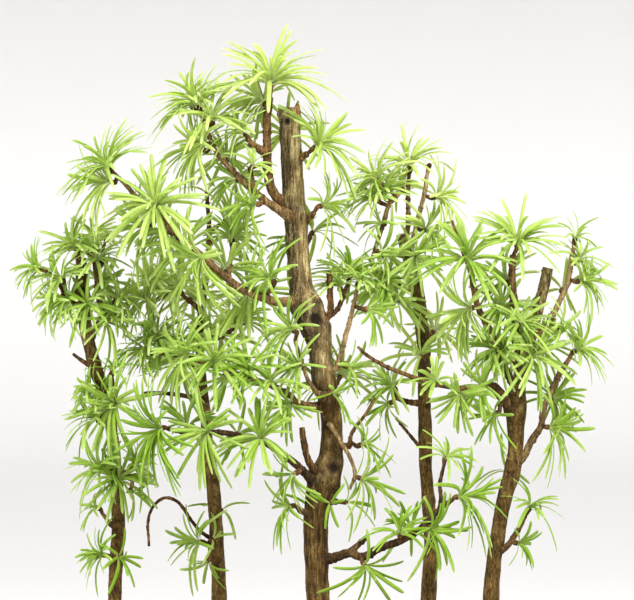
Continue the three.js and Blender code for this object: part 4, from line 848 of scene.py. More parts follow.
# Each shoot by its trunk: its stems as routes, then its sprays as [across, down, away, aim across,
# aim up, aim away, length] in sheet units. Where a spray has fewer or more needles than its length
# asks for, the share comes last.
shoots = {
  "trunk_far_left": {
    "far_left_upper_branch": ([[[82, 303, 38, 3.2], [67, 297, 30, 2.7], [60, 285, 26, 2.3],
      [49, 273, 22, 2]]],
      [[41, 269, 20, -1, 0.1, -0.35, 37, 1.3], [57, 298, 22, -0.8, -0.35, -0.5, 38],
        [62, 280, 16, -0.4, 0.3, -0.7, 40]]),
    "far_left_fork": ([[[90, 336, 38, 4], [103, 316, 36, 3.2], [99, 300, 38, 3], [96, 270, 44, 2.7],
      [92, 247, 48, 2.2]], [[97, 269, 44, 2], [103, 263, 42, 1.7], [103, 250, 40, 1.6],
      [108, 233, 38, 1.3]]],
      [[93, 240, 52, -0.1, 1, 0.5, 36, 1.4], [107, 312, 31, 0.9, 0.1, -0.4, 34, 1.5],
        [98, 285, 52, 0.5, 0.1, 0.9, 40, 1.3], [96, 262, 30, 0.2, 0.6, -0.6, 44],
        [104, 322, 26, 0.4, -0.2, -0.6, 42], [116, 300, 30, 0.6, 0.2, -0.3, 40],
        [90, 250, 26, -0.2, 0.7, -0.3, 40]]),
    "far_left_crown_spray": ([[[81, 266, 36, 3], [78, 256, 25, 2.6]]],
      [[76, 249, 21, -0.65, 0.4, -0.7, 48], [72, 300, 24, -0.5, -0.1, -0.7, 44],
        [90, 306, 20, -0.2, 0, -0.8, 42]]),
    "far_left_middle_whorl": ([[[105, 394, 37, 3.6], [109, 392, 27, 3], [112, 386, 24, 2.6],
      [112, 379, 22, 2.2]]],
      [[112, 373, 20, 0.1, 1, -0.4, 36, 0.45], [92, 387, 24, -1, 0.1, -0.3, 28],
        [117, 402, 20, -0.35, -0.45, -0.8, 55, 1.3], [106, 396, 36, -0.6, 0.3, -0.5, 46],
        [98, 420, 32, -0.8, 0.3, -0.3, 46]]),
    "far_left_low_whorl": ([[[117, 480, 38, 3.2], [122, 475, 29, 2.7], [128, 470, 26, 2.2]],
      [[124, 473, 28, 2.1], [132, 481, 26, 1.9], [131, 488, 26, 1.7]]],
      [[131, 466, 24, 1, 0.2, -0.3, 38], [117, 468, 24, -0.7, -0.1, -0.7, 36],
        [131, 491, 24, 0.7, -0.5, -0.5, 30, 0.35], [104, 470, 28, -0.8, 0.2, -0.5, 50],
        [118, 480, 28, 0.2, 0, -0.8, 46]]),
    "far_left_low_twig": ([[[116, 528, 38, 2.6], [108, 521, 32, 2.1], [102, 513, 30, 1.8]]],
      [[98, 508, 29, -0.9, 0.2, -0.4, 28, 0.5]]),
    "far_left_base_whorl": ([[[117, 557, 38, 3], [113, 556, 24, 2.6]]],
      [[104, 555, 21, -1, -0.05, -0.5, 38], [118, 557, 17, 0.5, -0.2, -0.9, 30, 0.5]]),
  },
  "trunk_left": {
    "left_crown_twig": ([[[209, 246, 64, 2.6], [209, 224, 63, 2.2], [207, 198, 61, 1.9]],
      [[209, 232, 64, 2.1], [216, 227, 62, 1.9], [223, 223, 60, 1.7]]],
      [[207, 194, 61, -0.1, 1, 0.2, 38, 0.2], [225, 221, 60, 0.75, 0.4, 0.5, 38, 1.3]]),
    "left_upper_twig": ([[[202, 312, 67, 2.6], [190, 301, 75, 2.1], [177, 291, 82, 1.8]]],
      [[173, 288, 84, -0.7, 0.4, 0.6, 42], [190, 300, 84, 0.2, 0.2, 1, 40],
        [180, 290, 66, -0.3, 0.3, -0.8, 50], [158, 284, 70, -0.6, 0.2, -0.7, 48],
        [150, 300, 62, -0.5, 0, -0.6, 46]]),
    "left_middle_right_twig": ([[[202, 348, 68, 2.8], [220, 337, 77, 2.3], [239, 326, 84, 2]]],
      [[243, 323, 86, 0.7, 0.4, 0.5, 44], [222, 336, 88, -0.1, -0.1, 1, 40],
        [236, 324, 72, 0.2, 0.4, -0.8, 50], [214, 336, 62, -0.4, 0, -0.8, 48]]),
    "left_middle_branch": ([[[202, 374, 69, 3.2], [187, 363, 57, 2.6], [170, 352, 48, 2.2]]],
      [[187, 357, 46, -0.6, -0.6, -0.5, 62], [165, 349, 46, -0.8, 0.4, -0.3, 46, 1.4],
        [178, 352, 62, -0.4, 0.2, 0.9, 40], [160, 340, 42, -0.5, 0.6, -0.6, 52],
        [150, 352, 44, -0.7, 0.2, -0.3, 48]]),
    "left_low_whorl": ([[[217, 546, 69, 3.2], [209, 545, 58, 2.7]]],
      [[201, 542, 54, -0.85, -0.2, -0.6, 46, 0.75], [212, 540, 52, 0.7, 0.2, -0.7, 32, 0.2],
        [209, 560, 56, -0.2, -0.8, -0.6, 30, 0.35]]),
    "left_back_spray": ([[[215, 520, 72, 3], [219, 514, 82, 2.6]]],
      [[221, 511, 87, 0.3, 0.3, 0.9, 40, 0.2]]),
  },
  "trunk_main": {
    "main_top_branch": ([[[291, 206, 0, 5], [282, 202, -4, 4.8], [272, 190, -8, 4.6], [268, 172, -9, 4.5],
      [267, 145, -10, 4.2], [267, 118, -12, 4], [270, 98, -14, 3.4]], [[267, 153, -10, 3],
      [254, 146, -16, 3.3], [248, 139, -19, 2.4]]],
      [[271, 86, -17, 0.1, 0.9, -0.45, 76, 1.35], [265, 104, 0, -0.5, 0.4, 0.8, 50, 1.3],
        [245, 134, -20, -0.75, 0.6, -0.3, 44]]),
    "main_upper_left_branch": ([[[292, 217, -5, 4.4], [276, 208, -16, 3.9], [262, 198, -20, 3.6],
      [252, 189, -20, 3.4], [240, 178, -20, 3.1], [228, 166, -20, 2.8], [217, 153, -20, 2.5],
      [210, 138, -19, 2.2], [203, 118, -18, 1.9]], [[252, 189, -20, 2.4], [252, 177, -26, 2]]],
      [[199, 107, -18, -0.5, 0.85, -0.3, 56, 1.35], [207, 144, -23, -0.95, -0.05, -0.4, 54],
        [252, 167, -30, 0.5, 0.5, -0.7, 34, 0.5], [257, 204, -28, -0.85, -0.3, -0.55, 50, 1.2],
        [226, 160, -8, 0, 0.5, 0.9, 40], [212, 122, -26, -0.1, 0.4, -0.8, 50],
        [192, 106, -14, -0.6, 0.7, 0.1, 48], [204, 150, -10, -0.9, 0, 0.4, 54],
        [238, 180, -8, -0.3, 0, 0.7, 42]]),
    "main_top_right_spur": ([[[296, 161, -1, 3.8], [307, 154, -6, 3]]],
      [[315, 147, -9, 0.8, 0.35, -0.5, 60, 1.35]]),
    "main_upper_right_spur": ([[[300, 226, 0, 3.6], [314, 213, -5, 2.9]]],
      [[321, 206, -8, 0.9, -0.1, -0.45, 50, 0.8]]),
    "main_middle_left_branch": ([[[302, 300, -4, 5.6], [280, 302, -13, 4.6], [262, 297, -17, 4.3],
      [240, 288, -20, 4], [222, 274, -22, 3.7], [200, 254, -22, 3.3], [180, 238, -22, 3],
      [167, 225, -20, 2.8], [159, 213, -18, 2.6], [143, 204, -14, 2.4], [125, 184, -10, 2.1],
      [116, 175, -8, 1.9]], [[228, 279, -20, 2.6], [230, 262, -8, 2.2], [232, 248, 2, 1.9]]],
      [[110, 169, -8, -0.65, 0.65, -0.45, 60, 1.35], [157, 207, -26, -0.15, 0.05, -1, 60, 1.35],
        [203, 257, -29, -0.55, -0.6, -0.6, 60], [272, 281, -26, -0.7, 0.3, -0.6, 50],
        [232, 241, 7, 0.1, 0.7, 0.7, 46, 1.3], [150, 205, 0, -0.4, 0.3, 0.9, 46, 0.3],
        [112, 182, -6, -0.9, -0.2, -0.2, 62], [186, 250, -12, -0.3, 0, 0.6, 54],
        [226, 272, -12, 0.1, 0.3, 0.7, 52], [250, 292, -12, -0.1, -0.3, 0.7, 50],
        [170, 232, -10, -0.5, 0, 0.6, 46], [150, 226, -6, -0.6, -0.3, 0.5, 52]]),
    "main_left_branch": ([[[323, 407, -3, 3.7], [300, 404, -15, 3.3], [288, 394, -22, 3],
      [270, 385, -26, 2.8], [250, 378, -28, 2.6], [225, 370, -28, 2.4], [203, 363, -28, 2.2],
      [195, 360, -28, 2]]],
      [[190, 356, -29, -0.85, 0.15, -0.5, 54], [250, 373, -34, -0.3, 0.3, -0.9, 46],
        [226, 374, -20, 0.1, -0.6, 0.8, 38], [292, 403, -25, -0.3, -0.5, -0.8, 36],
        [214, 364, -34, 0, 0.2, -0.9, 50], [270, 384, -30, 0, 0.4, -0.8, 44]]),
    "main_front_twig": ([[[324, 398, -7, 3], [318, 394, -16, 2.4], [308, 380, -19, 2],
      [302, 362, -21, 1.9], [295, 341, -22, 1.7]], [[318, 394, -16, 2.2], [327, 394, -20, 2.1]]],
      [[294, 331, -23, -0.8, 0.15, -0.6, 46], [331, 393, -23, 0.6, -0.3, -0.8, 38, 0.35],
        [302, 366, -22, -0.5, -0.2, -0.8, 38]]),
    "main_low_left_branch": ([[[315, 484, -8, 4.6], [300, 468, -21, 3.9], [285, 456, -26, 3.6],
      [262, 441, -30, 3.2], [245, 437, -31, 3], [225, 433, -32, 2.8], [207, 432, -32, 2.5],
      [185, 432, -31, 2.3], [168, 429, -30, 2]]],
      [[262, 439, -37, -0.2, 0.15, -1, 50, 1.35], [208, 431, -39, -0.25, -0.35, -0.9, 54],
        [163, 428, -32, -0.7, -0.5, -0.6, 62, 1.35], [187, 428, -18, -0.1, 0.5, 0.9, 42],
        [237, 434, -16, 0.1, -0.2, 1, 40, 0.5], [296, 473, -29, -0.7, -0.6, -0.4, 44, 0.7]]),
    "main_lowest_left_spur": ([[[314, 516, -4, 3.4], [299, 510, -14, 2.8]]],
      [[292, 506, -17, -0.8, -0.35, -0.5, 46, 0.7]]),
    "main_low_front_spur": ([[[326, 500, -6, 3.6], [337, 502, -18, 2.8]]],
      [[331, 503, -25, -0.3, -0.5, -0.9, 30, 0.35], [345, 502, -21, 0.85, -0.3, -0.5, 38, 0.3]]),
    "main_low_right_branch": ([[[320, 561, -2, 5.4], [336, 557, -12, 4.8], [350, 553, -20, 4.4],
      [363, 557, -25, 4.2], [380, 548, -28, 4], [400, 541, -30, 3.7], [418, 531, -31, 3.4],
      [430, 519, -31, 3.1], [442, 507, -30, 2.8], [452, 500, -29, 2.4]], [[350, 553, -20, 3],
      [360, 543, -22, 2.7], [368, 536, -23, 2.2]], [[441, 508, -30, 2.4], [441, 498, -30, 2],
      [440, 483, -28, 1.9], [444, 465, -27, 1.7]]],
      [[364, 564, -34, 0.35, -0.75, -0.65, 50, 0.6], [400, 535, -37, -0.1, 0.75, -0.7, 40, 0.7],
        [429, 529, -37, 0.6, -0.4, -0.7, 50, 0.85], [457, 497, -30, 1, -0.05, -0.35, 62],
        [445, 459, -27, 0.3, 0.6, -0.7, 38, 0.6], [412, 533, -18, -0.1, 0.3, 1, 40, 0.8]]),
    "main_right_knee_spur": ([[[334, 445, -1, 3.4], [350, 446, -9, 2.6]], [[349, 446, -9, 2],
      [353, 431, -12, 1.8], [365, 415, -13, 1.6], [375, 398, -13, 1.3]]],
      [[360, 445, -13, 0.9, 0, -0.4, 44, 0.6]]),
    "main_looped_twig": ([[[330, 424, -7, 2.4], [338, 437, -22, 1.9], [346, 450, -26, 1.9],
      [352, 462, -25, 1.9], [355, 475, -23, 1.9], [350, 489, -20, 1.5]]],
      [[360, 478, -24, 0.75, -0.45, -0.5, 56, 0.6]]),
    "main_right_twig": ([[[325, 375, -2, 3.4], [336, 368, -11, 2.9], [341, 354, -13, 2.6],
      [346, 335, -14, 2.4], [351, 316, -14, 2.2], [354, 303, -14, 2.1], [357, 290, -14, 1.8]]],
      [[366, 309, -18, 0.75, -0.3, -0.6, 46, 0.55], [347, 366, -20, 0.7, -0.3, -0.7, 34, 0.5],
        [358, 284, -14, 0.5, 0.8, -0.2, 36]]),
    "main_upper_right_twig": ([[[317, 322, 2, 3.2], [335, 312, 9, 2.5], [342, 300, 11, 2.3],
      [346, 288, 12, 2]]],
      [[349, 280, 13, 0.2, 0.75, 0.2, 52], [340, 288, 8, -0.2, 0.7, -0.5, 44]]),
    "main_back_top_spur": ([[[291, 152, 4, 3.2], [288, 142, 19, 2.6]]],
      [[287, 137, 26, -0.1, 0.5, 0.9, 48, 0.55]]),
    "main_back_upper_branch": ([[[299, 252, 5, 3.6], [306, 244, 22, 3], [310, 237, 36, 2.5]]],
      [[312, 233, 42, 0.5, 0.4, 0.8, 50, 0.35], [299, 243, 30, -0.75, 0.2, 0.7, 44, 0.7]]),
    "main_back_middle_branch": ([[[326, 396, 6, 3.4], [333, 388, 24, 2.8], [338, 381, 38, 2.4]]],
      [[340, 377, 44, 0.4, 0.4, 0.8, 48], [327, 385, 34, -0.75, 0.1, 0.7, 42]]),
    "main_back_low_spur": ([[[317, 522, 5, 3.2], [313, 514, 20, 2.6]]],
      [[311, 510, 26, -0.3, 0.3, 0.9, 44, 0.12]]),
  },
  "trunk_right": {
    "right_left_twig": ([[[416, 290, 51, 3.2], [394, 284, 40, 2.6], [373, 267, 32, 2.3],
      [376, 247, 28, 2.1], [384, 222, 26, 2], [389, 206, 25, 1.9], [401, 192, 26, 1.4]]],
      [[385, 196, 24, -0.35, 0.8, -0.5, 48, 1.4], [383, 224, 21, -0.85, -0.1, -0.5, 36, 0.5],
        [380, 252, 22, 0.6, -0.5, -0.6, 52], [378, 200, 22, -0.6, 0.4, -0.5, 44],
        [386, 282, 32, -0.2, -0.2, -0.9, 46], [378, 180, 22, -0.6, 0.3, -0.4, 46],
        [396, 300, 34, 0.2, -0.2, -0.8, 40]]),
    "right_tan_twig": ([[[408, 258, 48, 3], [415, 232, 44, 2.6], [419, 214, 40, 2.3], [424, 195, 38, 2.1],
      [428, 170, 38, 1.8]]],
      [[435, 197, 36, 0.9, 0, -0.45, 48], [424, 230, 37, 0.5, -0.2, -0.8, 44],
        [429, 166, 40, 0.5, 0.8, 0.4, 38, 0.1]]),
    "right_crown_spray": ([[[404, 247, 49, 2.8], [408, 226, 57, 2.4], [408, 196, 56, 2.2],
      [409, 174, 53, 2]]],
      [[410, 167, 50, -0.25, 0.8, -0.5, 50], [403, 190, 64, -0.4, 0.4, 0.8, 42, 0.75]]),
    "right_upper_spur": ([[[413, 274, 48, 3.2], [415, 262, 34, 2.6]]],
      [[415, 256, 28, 0.1, -0.3, -0.95, 48]]),
    "right_middle_spur": ([[[424, 364, 52, 3.2], [423, 359, 39, 2.6]]],
      [[422, 356, 33, -0.3, 0.2, -0.9, 46, 0.55]]),
    "right_left_spur": ([[[424, 403, 54, 3.2], [408, 402, 46, 2.6], [396, 398, 42, 2.2]]],
      [[390, 403, 40, -0.6, -0.6, -0.5, 36, 0.6], [394, 388, 38, -0.6, 0.4, -0.7, 40, 1.1]]),
    "right_back_spur": ([[[424, 344, 56, 3.2], [430, 336, 72, 2.6]]],
      [[433, 332, 78, 0.5, 0.3, 0.8, 46], [423, 333, 76, -0.8, 0.2, 0.6, 42, 0.12]]),
  },
  "trunk_far_right": {
    "far_right_long_branch": ([[[512, 408, 13, 6.2], [500, 394, 4, 5.2], [492, 386, -1, 4],
      [468, 389, -7, 2.8], [435, 384, -11, 2.4], [410, 376, -13, 2.2], [385, 366, -15, 2],
      [368, 356, -17, 1.8], [358, 347, -18, 1.4]], [[502, 394, 3, 3], [500, 406, -4, 2.5]]],
      [[486, 387, -12, -0.7, -0.1, -0.75, 44], [497, 413, -7, -0.6, -0.6, -0.6, 40, 0.7],
        [436, 383, -19, -0.1, 0.5, -0.85, 30], [460, 392, -12, -0.1, -0.6, -0.8, 40]]),
    "far_right_upright": ([[[521, 377, 15, 4.7], [517, 362, 4, 4.2], [515, 330, 1, 3.9],
      [513, 290, -1, 3.7], [512, 270, -2, 3.5], [513, 256, -4, 3]]],
      [[517, 246, -7, 0.1, 0.75, -0.65, 60, 1.35], [518, 325, -10, 0.3, 0.45, -0.8, 48, 0.65],
        [507, 347, -8, -0.6, -0.3, -0.75, 42, 1.4], [508, 282, 8, -0.4, 0.3, 0.85, 44],
        [516, 338, 0, 0.5, 0.2, -0.6, 42], [498, 350, 0, -0.5, 0, -0.6, 42]]),
    "far_right_left_branch": ([[[517, 391, 10, 4.3], [506, 370, -8, 3.6], [491, 332, -13, 3.3],
      [480, 312, -14, 3.1], [475, 295, -15, 2.9], [471, 272, -15, 2.6]], [[471, 272, -15, 2.1],
      [461, 247, -12, 1.7], [452, 221, -10, 1.3]]],
      [[468, 263, -20, -0.1, 0.4, -0.9, 60, 1.35], [472, 308, -20, -0.7, -0.5, -0.5, 54, 1.3],
        [498, 308, 4, 0.3, 0, -0.8, 46]]),
    "far_right_front_spur": ([[[525, 362, 16, 3.2], [531, 359, 4, 2.7]]],
      [[530, 357, -4, 0.3, -0.1, -0.9, 58]]),
    "far_right_right_branch": ([[[514, 466, 14, 4.2], [524, 456, 8, 3.8], [532, 440, 5, 3.5],
      [541, 426, 4, 3.3], [544, 408, 3, 3.1], [558, 377, 2, 2.8], [569, 359, 1, 2.5]]],
      [[575, 351, 0, 0.8, 0.3, -0.4, 46], [548, 427, -3, 0.8, -0.35, -0.5, 56],
        [551, 400, 10, 0.5, 0.1, 0.85, 42]]),
    "far_right_pink_twig": ([[[532, 336, 20, 3.6], [547, 326, 13, 3], [560, 300, 12, 2.7],
      [567, 285, 12, 2.6], [571, 265, 12, 2.4], [574, 246, 12, 2]]],
      [[560, 326, 5, 0.7, 0, -0.7, 38, 0.5], [579, 281, 8, 0.85, -0.1, -0.45, 44],
        [575, 240, 13, 0.4, 0.9, 0.2, 38, 0.4], [562, 290, 24, 0.2, 0.1, 1, 42, 0.3],
        [577, 262, 10, 0.6, 0.5, -0.4, 36]]),
    "far_right_low_branch": ([[[496, 553, 14, 3.6], [507, 546, 8, 3], [517, 532, 6, 2.7],
      [525, 516, 5, 2.3]]],
      [[529, 509, 4, 0.45, 0.6, -0.5, 42, 0.65], [517, 543, 0, 0.7, -0.4, -0.6, 34, 0.6]]),
    "far_right_back_branch": ([[[522, 374, 18, 3.6], [528, 364, 34, 3], [534, 353, 48, 2.6]]],
      [[536, 349, 54, 0.5, 0.4, 0.8, 48], [522, 359, 46, -0.7, 0.2, 0.7, 44, 1.2]]),
    "far_right_back_low_spur": ([[[510, 484, 18, 3.2], [508, 476, 33, 2.6]]],
      [[507, 472, 39, -0.3, 0.3, 0.9, 44, 0.2]]),
  },
}

# How far each shoot's bark has gone tan, from nothing to 1.
tanned = {
    "far_right_pink_twig": 1.0,
    "right_tan_twig": 0.8,
    "right_left_twig": 0.7,
    "far_left_fork": 0.6,
    "main_right_twig": 0.75,
    "main_looped_twig": 0.7,
    "main_front_twig": 0.45,
    "far_right_right_branch": 0.4,
    "main_middle_left_branch": 0.35,
    "main_upper_left_branch": 0.35,
}

# How dark a shoot's bark is, from nothing to 1.
darkened = {"main_low_right_branch": 0.5, "main_low_left_branch": 0.55, "main_low_front_spur": 0.3}

# Shoots with a thicker collar than the others, as a share of their radius.
swollen = {"main_top_branch": 1.0, "main_upper_left_branch": 1.0}


def nearestFoot(stems, bud):
    best = None
    for stem in stems:
        for (a, _), (b, _) in zip(stem, stem[1:]):
            way = b - a
            point = a + way * held((bud - a).dot(way) / way.dot(way))
            if best is None or (point - bud).length < (best - bud).length:
                best = point
    return best


def spurRelief(point, radius, travelled, turn):
    beat = travelled / (2.2 * spur["pitch"] * mm)
    scales = abs(math.sin(math.pi * beat)) ** 0.7 - 0.5
    ragged = noise.noise(point / (0.9 * mm)) * 0.16 * mm
    # painted shade darkens the grooves between its rings of scales
    return scales * spur["scale"] * mm + ragged, 0.55 * max(0, -scales) * 1.6, 0


def addShoot(form, buds, name, stems, sprays, seed):
    stems = [laidOut(stem) for stem in stems]
    for i, stem in enumerate(stems):
        around = wood["stemAround"] if stem[0][1] > wood["thinnest"] * mm else wood["twigAround"]
        swell = swollen.get(name, wood["collar"])
        relief = twigRelief(seed + i, tanned.get(name, 0.1), darkened.get(name, 0), swell)
        addTube(form, smoothed(stem, wood["stemPitch"]), around, relief, 0.5)
    for spray in sprays:
        centre = placed(spray)
        across, up, away, length = spray[3:7]
        aim = Vector((across, 0.7 * away, up + spur["lift"])).normalized()
        foot = nearestFoot(stems, centre)
        middle = centre - aim * min(2.2 * mm, 0.4 * (centre - foot).length)
        line = [
            (foot, spur["foot"] * mm),
            (middle, 0.5 * (spur["foot"] + spur["bud"]) * mm),
            (centre, spur["bud"] * mm),
            (centre + aim * 0.9 * mm, 0.8 * spur["bud"] * mm),
        ]
        addTube(form, smoothed(line, spur["pitch"]), spur["around"], spurRelief, 0.8)
        count = (needles["fewest"] + needles["perLength"] * length) * (*spray, 1)[7]
        reach = length * scaleAt(spray[2]) * mm
        buds.append((centre + aim * 0.6 * mm, aim, reach, round(count)))


# Sprays high on the trees and on the far side are the palest.
def freshness(point):
    high = (point.z / mm - 200) / 260
    far = max(0, point.y / mm) / 60
    return 0.75 * high + 0.9 * far - 0.12


def budMesh(name, buds, seed):
    mesh = bpy.data.meshes.new(name)
    mesh.from_pydata([bud[0] for bud in buds], [], [])
    chance = random.Random(seed)
    for key, kind, data in (
        ("aim", "FLOAT_VECTOR", [c for bud in buds for c in bud[1]]),
        ("reach", "FLOAT", [bud[2] for bud in buds]),
        ("spin", "FLOAT", [chance.uniform(0, 6.28) for bud in buds]),
        ("fresh", "FLOAT", [freshness(bud[0]) + chance.uniform(-0.2, 0.2) for bud in buds]),
        ("needles", "INT", [bud[3] for bud in buds]),
    ):
        attribute = mesh.attributes.new(key, kind, "POINT")
        attribute.data.foreach_set("vector" if key == "aim" else "value", data)
    return mesh


needleTree = makeNeedleTree(needleGreen)
needleFaces = 0
for forms in shoots.values():
    for number, (name, (stems, sprays)) in enumerate(forms.items()):
        seed = sum(ord(c) for c in name) + number
        form, buds = newForm(), []
        addShoot(form, buds, name, stems, sprays, seed)
        stem = newObject(name + "_leafy", meshOf(form, name, [twigBark]))
        leaves = newObject(name + "_needles", budMesh(name + "_buds", buds, seed))
        grow(leaves, needleTree, seed * 20)
        needleFaces += len(leaves.data.polygons)
        join(stem, [leaves])
        finished(stem, name)
print("shoots made:", needleFaces, "needle faces")


# Tray, soil, moss, screens and clips


tray = {
    "length": 408,  # mm
    "width": 226,
    "height": 46,
    "corner": 26,
    "draft": 9,  # mm that each side leans in from rim to foot
    "wall": 6.5,
    "lip": 4,
    "lipHeight": 7,
    "under": 8,
    "floor": 15,
    "footLength": 54,
    "footWidth": 30,
    "footCorner": 9,
    "footMiddle": (133, 83.4),
    "hole": 12,
    "holeOffset": 105,
    "cornerSteps": 12,
    "straight": 7,  # mm between points on the straight sides
    "thrown": 0.35,  # mm of unevenness left by the hand
    "sharp": 42,  # degrees from which an edge is drawn sharp
}


def wallInset(height):
    return tray["lip"] + tray["draft"] * (tray["height"] - height) / tray["height"]


# One ring of a rounded oblong, in mm, its sides drawn in by inset.
def oblong(inset, height, length=tray["length"], width=tray["width"], corner=tray["corner"]):
    radius = max(corner - inset, 2)
    halves = (length / 2 - inset - radius, width / 2 - inset - radius)
    ring = []
    for quarter, (sx, sy) in enumerate(((1, 1), (-1, 1), (-1, -1), (1, -1))):
        for k in range(tray["cornerSteps"] + 1):
            turn = math.pi / 2 * (quarter + k / tray["cornerSteps"])
            x = sx * halves[0] + radius * math.cos(turn)
            y = sy * halves[1] + radius * math.sin(turn)
            ring.append(Vector((x, y, height)))
        run = 2 * halves[quarter % 2]
        steps = max(1, round((length, width)[quarter % 2] / tray["straight"]))
        way = Vector((-math.sin(turn), math.cos(turn), 0))
        start = ring[-1]
        for k in range(1, steps):
            ring.append(start + way * run * k / steps)
    return ring


# A closed skin over rings of equally many points in mm, its ends filled.
def addSkin(form, rings):
    start = len(form["points"])
    around = len(rings[0])
    for ring in rings:
        for point in ring:
            addPoint(form, point * mm)
    last = start + (len(rings) - 1) * around
    for first in range(start, last, around):
        joinRings(form, first, first + around, around)
    addFace(form, tuple(range(last, last + around)), 0)
    addFace(form, tuple(range(start + around - 1, start - 1, -1)), 0)


def footBlock(x, y):
    rings = []
    for inset, height in ((1.6, 0), (0.5, 0.5), (0, 1.6), (0, tray["under"] + 1)):
        ring = oblong(inset, height, tray["footLength"], tray["footWidth"], tray["footCorner"])
        rings.append([point + Vector((x, y, 0)) for point in ring])
    return rings


def cutAway(obj, cutters):
    for cutter in cutters:
        modifier = obj.modifiers.new("cut", "BOOLEAN")
        modifier.object = cutter
        modifier.operation = "DIFFERENCE"
        modifier.solver = "EXACT"
    settle(obj)
    for cutter in cutters:
        bpy.data.objects.remove(cutter)


# The wall is drawn as (inset, height) from under the floor, out over the lip and down inside.
def makeTray():
    under = tray["height"] - tray["lipHeight"]
    top = tray["height"]
    floor = tray["floor"]
    brim, side, sole = [wallInset(z) + tray["wall"] for z in (top, floor + 5, floor + 1.2)]
    steps = [(wallInset(8) + 2.2, 8), (wallInset(8) + 0.7, 8.6)]
    steps += [(wallInset(z), z) for z in (10, 14, 19, 24, 29, 34, under - 1.5)]
    steps += [(wallInset(under) - 0.5, under), (1.2, under + 0.9), (0.2, under + 2), (0, under + 3.4)]
    steps += [(0, top - 2), (0.5, top - 0.7), (1.8, top), (brim - 1.8, top), (brim - 0.4, top - 0.7)]
    steps += [(brim + 0.1, top - 2), (side, floor + 5), (sole + 1.6, floor + 1.4), (sole + 4.5, floor)]
    form = newForm()
    rings = [oblong(inset, height) for inset, height in steps]
    for ring in rings:
        for point in ring:
            uneven = 0.5 + noise.noise(point / 31) * 0.7
            point -= Vector((point.x, point.y, 0)).normalized() * max(0, uneven) * tray["thrown"]
    addSkin(form, rings)
    x, y = tray["footMiddle"]
    for sx in (-1, 1):
        for sy in (-1, 1):
            addSkin(form, footBlock(sx * x, sy * y))
    obj = newObject("tray_body", meshOf(form, "tray", [clay]))
    cutters = []
    bore = ((15, 5), (13.1, 8), (12.2, 8.9), (12, 10), (12, 13.4), (12.5, 14.6), (15, 17))
    for side in (-1, 1):
        form = newForm()
        middle = side * tray["holeOffset"]
        turns = [2 * math.pi * k / 48 for k in range(48)]
        rings = [
            [Vector((middle + radius * math.cos(t), radius * math.sin(t), height)) for t in turns]
            for radius, height in bore
        ]
        addSkin(form, rings)
        cutters.append(newObject("bore", meshOf(form, "bore", [clay])))
    cutAway(obj, cutters)
    obj.data.set_sharp_from_angle(angle=math.radians(tray["sharp"]))
    finished(obj, "tray")


ground = {
    "bottom": 15.4,  # mm
    "rim": 3.6,  # mm below the tray's rim, at the edge
    "mound": 8.2,
    "slope": 1.6,
    "rings": 34,
    "eased": 3,  # rings over which the rough surface starts
    "grain": 3.1,
    "grains": 0.062,  # for each square mm
    "moss": 0.2,  # sprigs for each square mm of moss
    "sprig": 2.3,
    "tint": 0.35,
    "seed": 11,
}


def mossAt(point):
    flat = Vector((point.x, point.y, 0)) / mm
    wide = noise.noise(flat / 34 + Vector((7.3, 1.9, 0)))
    fine = noise.noise(flat / 9 + Vector((2.2, 5.1, 3)))
    return held(3.2 * (wide + 0.35 * fine - 0.02))


# The soil's rings from its underside to the middle of its top, level and smooth.
def soilRings():
    brim = tray["height"] - ground["rim"]
    side, edge, top = [wallInset(z) + tray["wall"] + 0.4 for z in (tray["floor"] + 5, brim - 1, brim)]
    rings = [oblong(side + 5, ground["bottom"]), oblong(side, tray["floor"] + 5), oblong(edge, brim - 1)]
    reach = tray["width"] / 2 - top - 6
    for k in range(ground["rings"]):
        share = k / ground["rings"]
        height = brim + ground["mound"] * (1 - (1 - share) ** ground["slope"])
        rings.append(oblong(top + share * reach, height))
    return rings


# Grains strewn on the bare soil and short sprigs on the moss, each a share of the surface.
def makeStrewTree(name, material, tilt, sizes):
    tree, add, given = newTree("strewn " + name, "Ground", sizes)
    cover = add("GeometryNodeInputNamedAttribute", {"data_type": "FLOAT", "Name": name})
    density = add("ShaderNodeMath", "MULTIPLY", cover, given["Density"])
    spread = {"Mesh": given["Ground"], "Density": density, "Seed": given["Seed"]}
    spots = add("GeometryNodeDistributePointsOnFaces", {"distribute_method": "RANDOM", **spread})
    if name == "bare":
        shape = add("GeometryNodeMeshIcoSphere", {"Radius": 0.5, "Subdivisions": 1})
    else:
        ends = {"Radius Top": 0.06, "Radius Bottom": 0.22, "Depth": 1.0}
        shape = add("GeometryNodeMeshCone", {"Vertices": 3, "Side Segments": 1, **ends})
    angles = {"Min": (-tilt, -tilt, 0), "Max": (tilt, tilt, 6.28)}
    scales = {"Min": given["Least"], "Max": given["Most"]}
    chance = []
    for kind, limits in (("FLOAT_VECTOR", angles), ("FLOAT_VECTOR", scales), ("FLOAT", {})):
        values = {"data_type": kind, "Seed": given["Seed"], **limits}
        chance.append(add("FunctionNodeRandomValue", values))
    turned = add("FunctionNodeEulerToRotation", {"Euler": chance[0]})
    mark = {"data_type": "FLOAT", "domain": "POINT", "Name": "tint", "Value": chance[2]}
    marked = add("GeometryNodeStoreNamedAttribute", {"Geometry": spots, **mark})
    each = {"Points": marked, "Instance": shape, "Rotation": turned, "Scale": chance[1]}
    strewn = add("GeometryNodeInstanceOnPoints", each)
    real = add("GeometryNodeRealizeInstances", {"Geometry": strewn})
    dressed = add("GeometryNodeSetMaterial", {"Material": material, "Geometry": real})
    add("NodeGroupOutput", {"Geometry": dressed})
    return tree


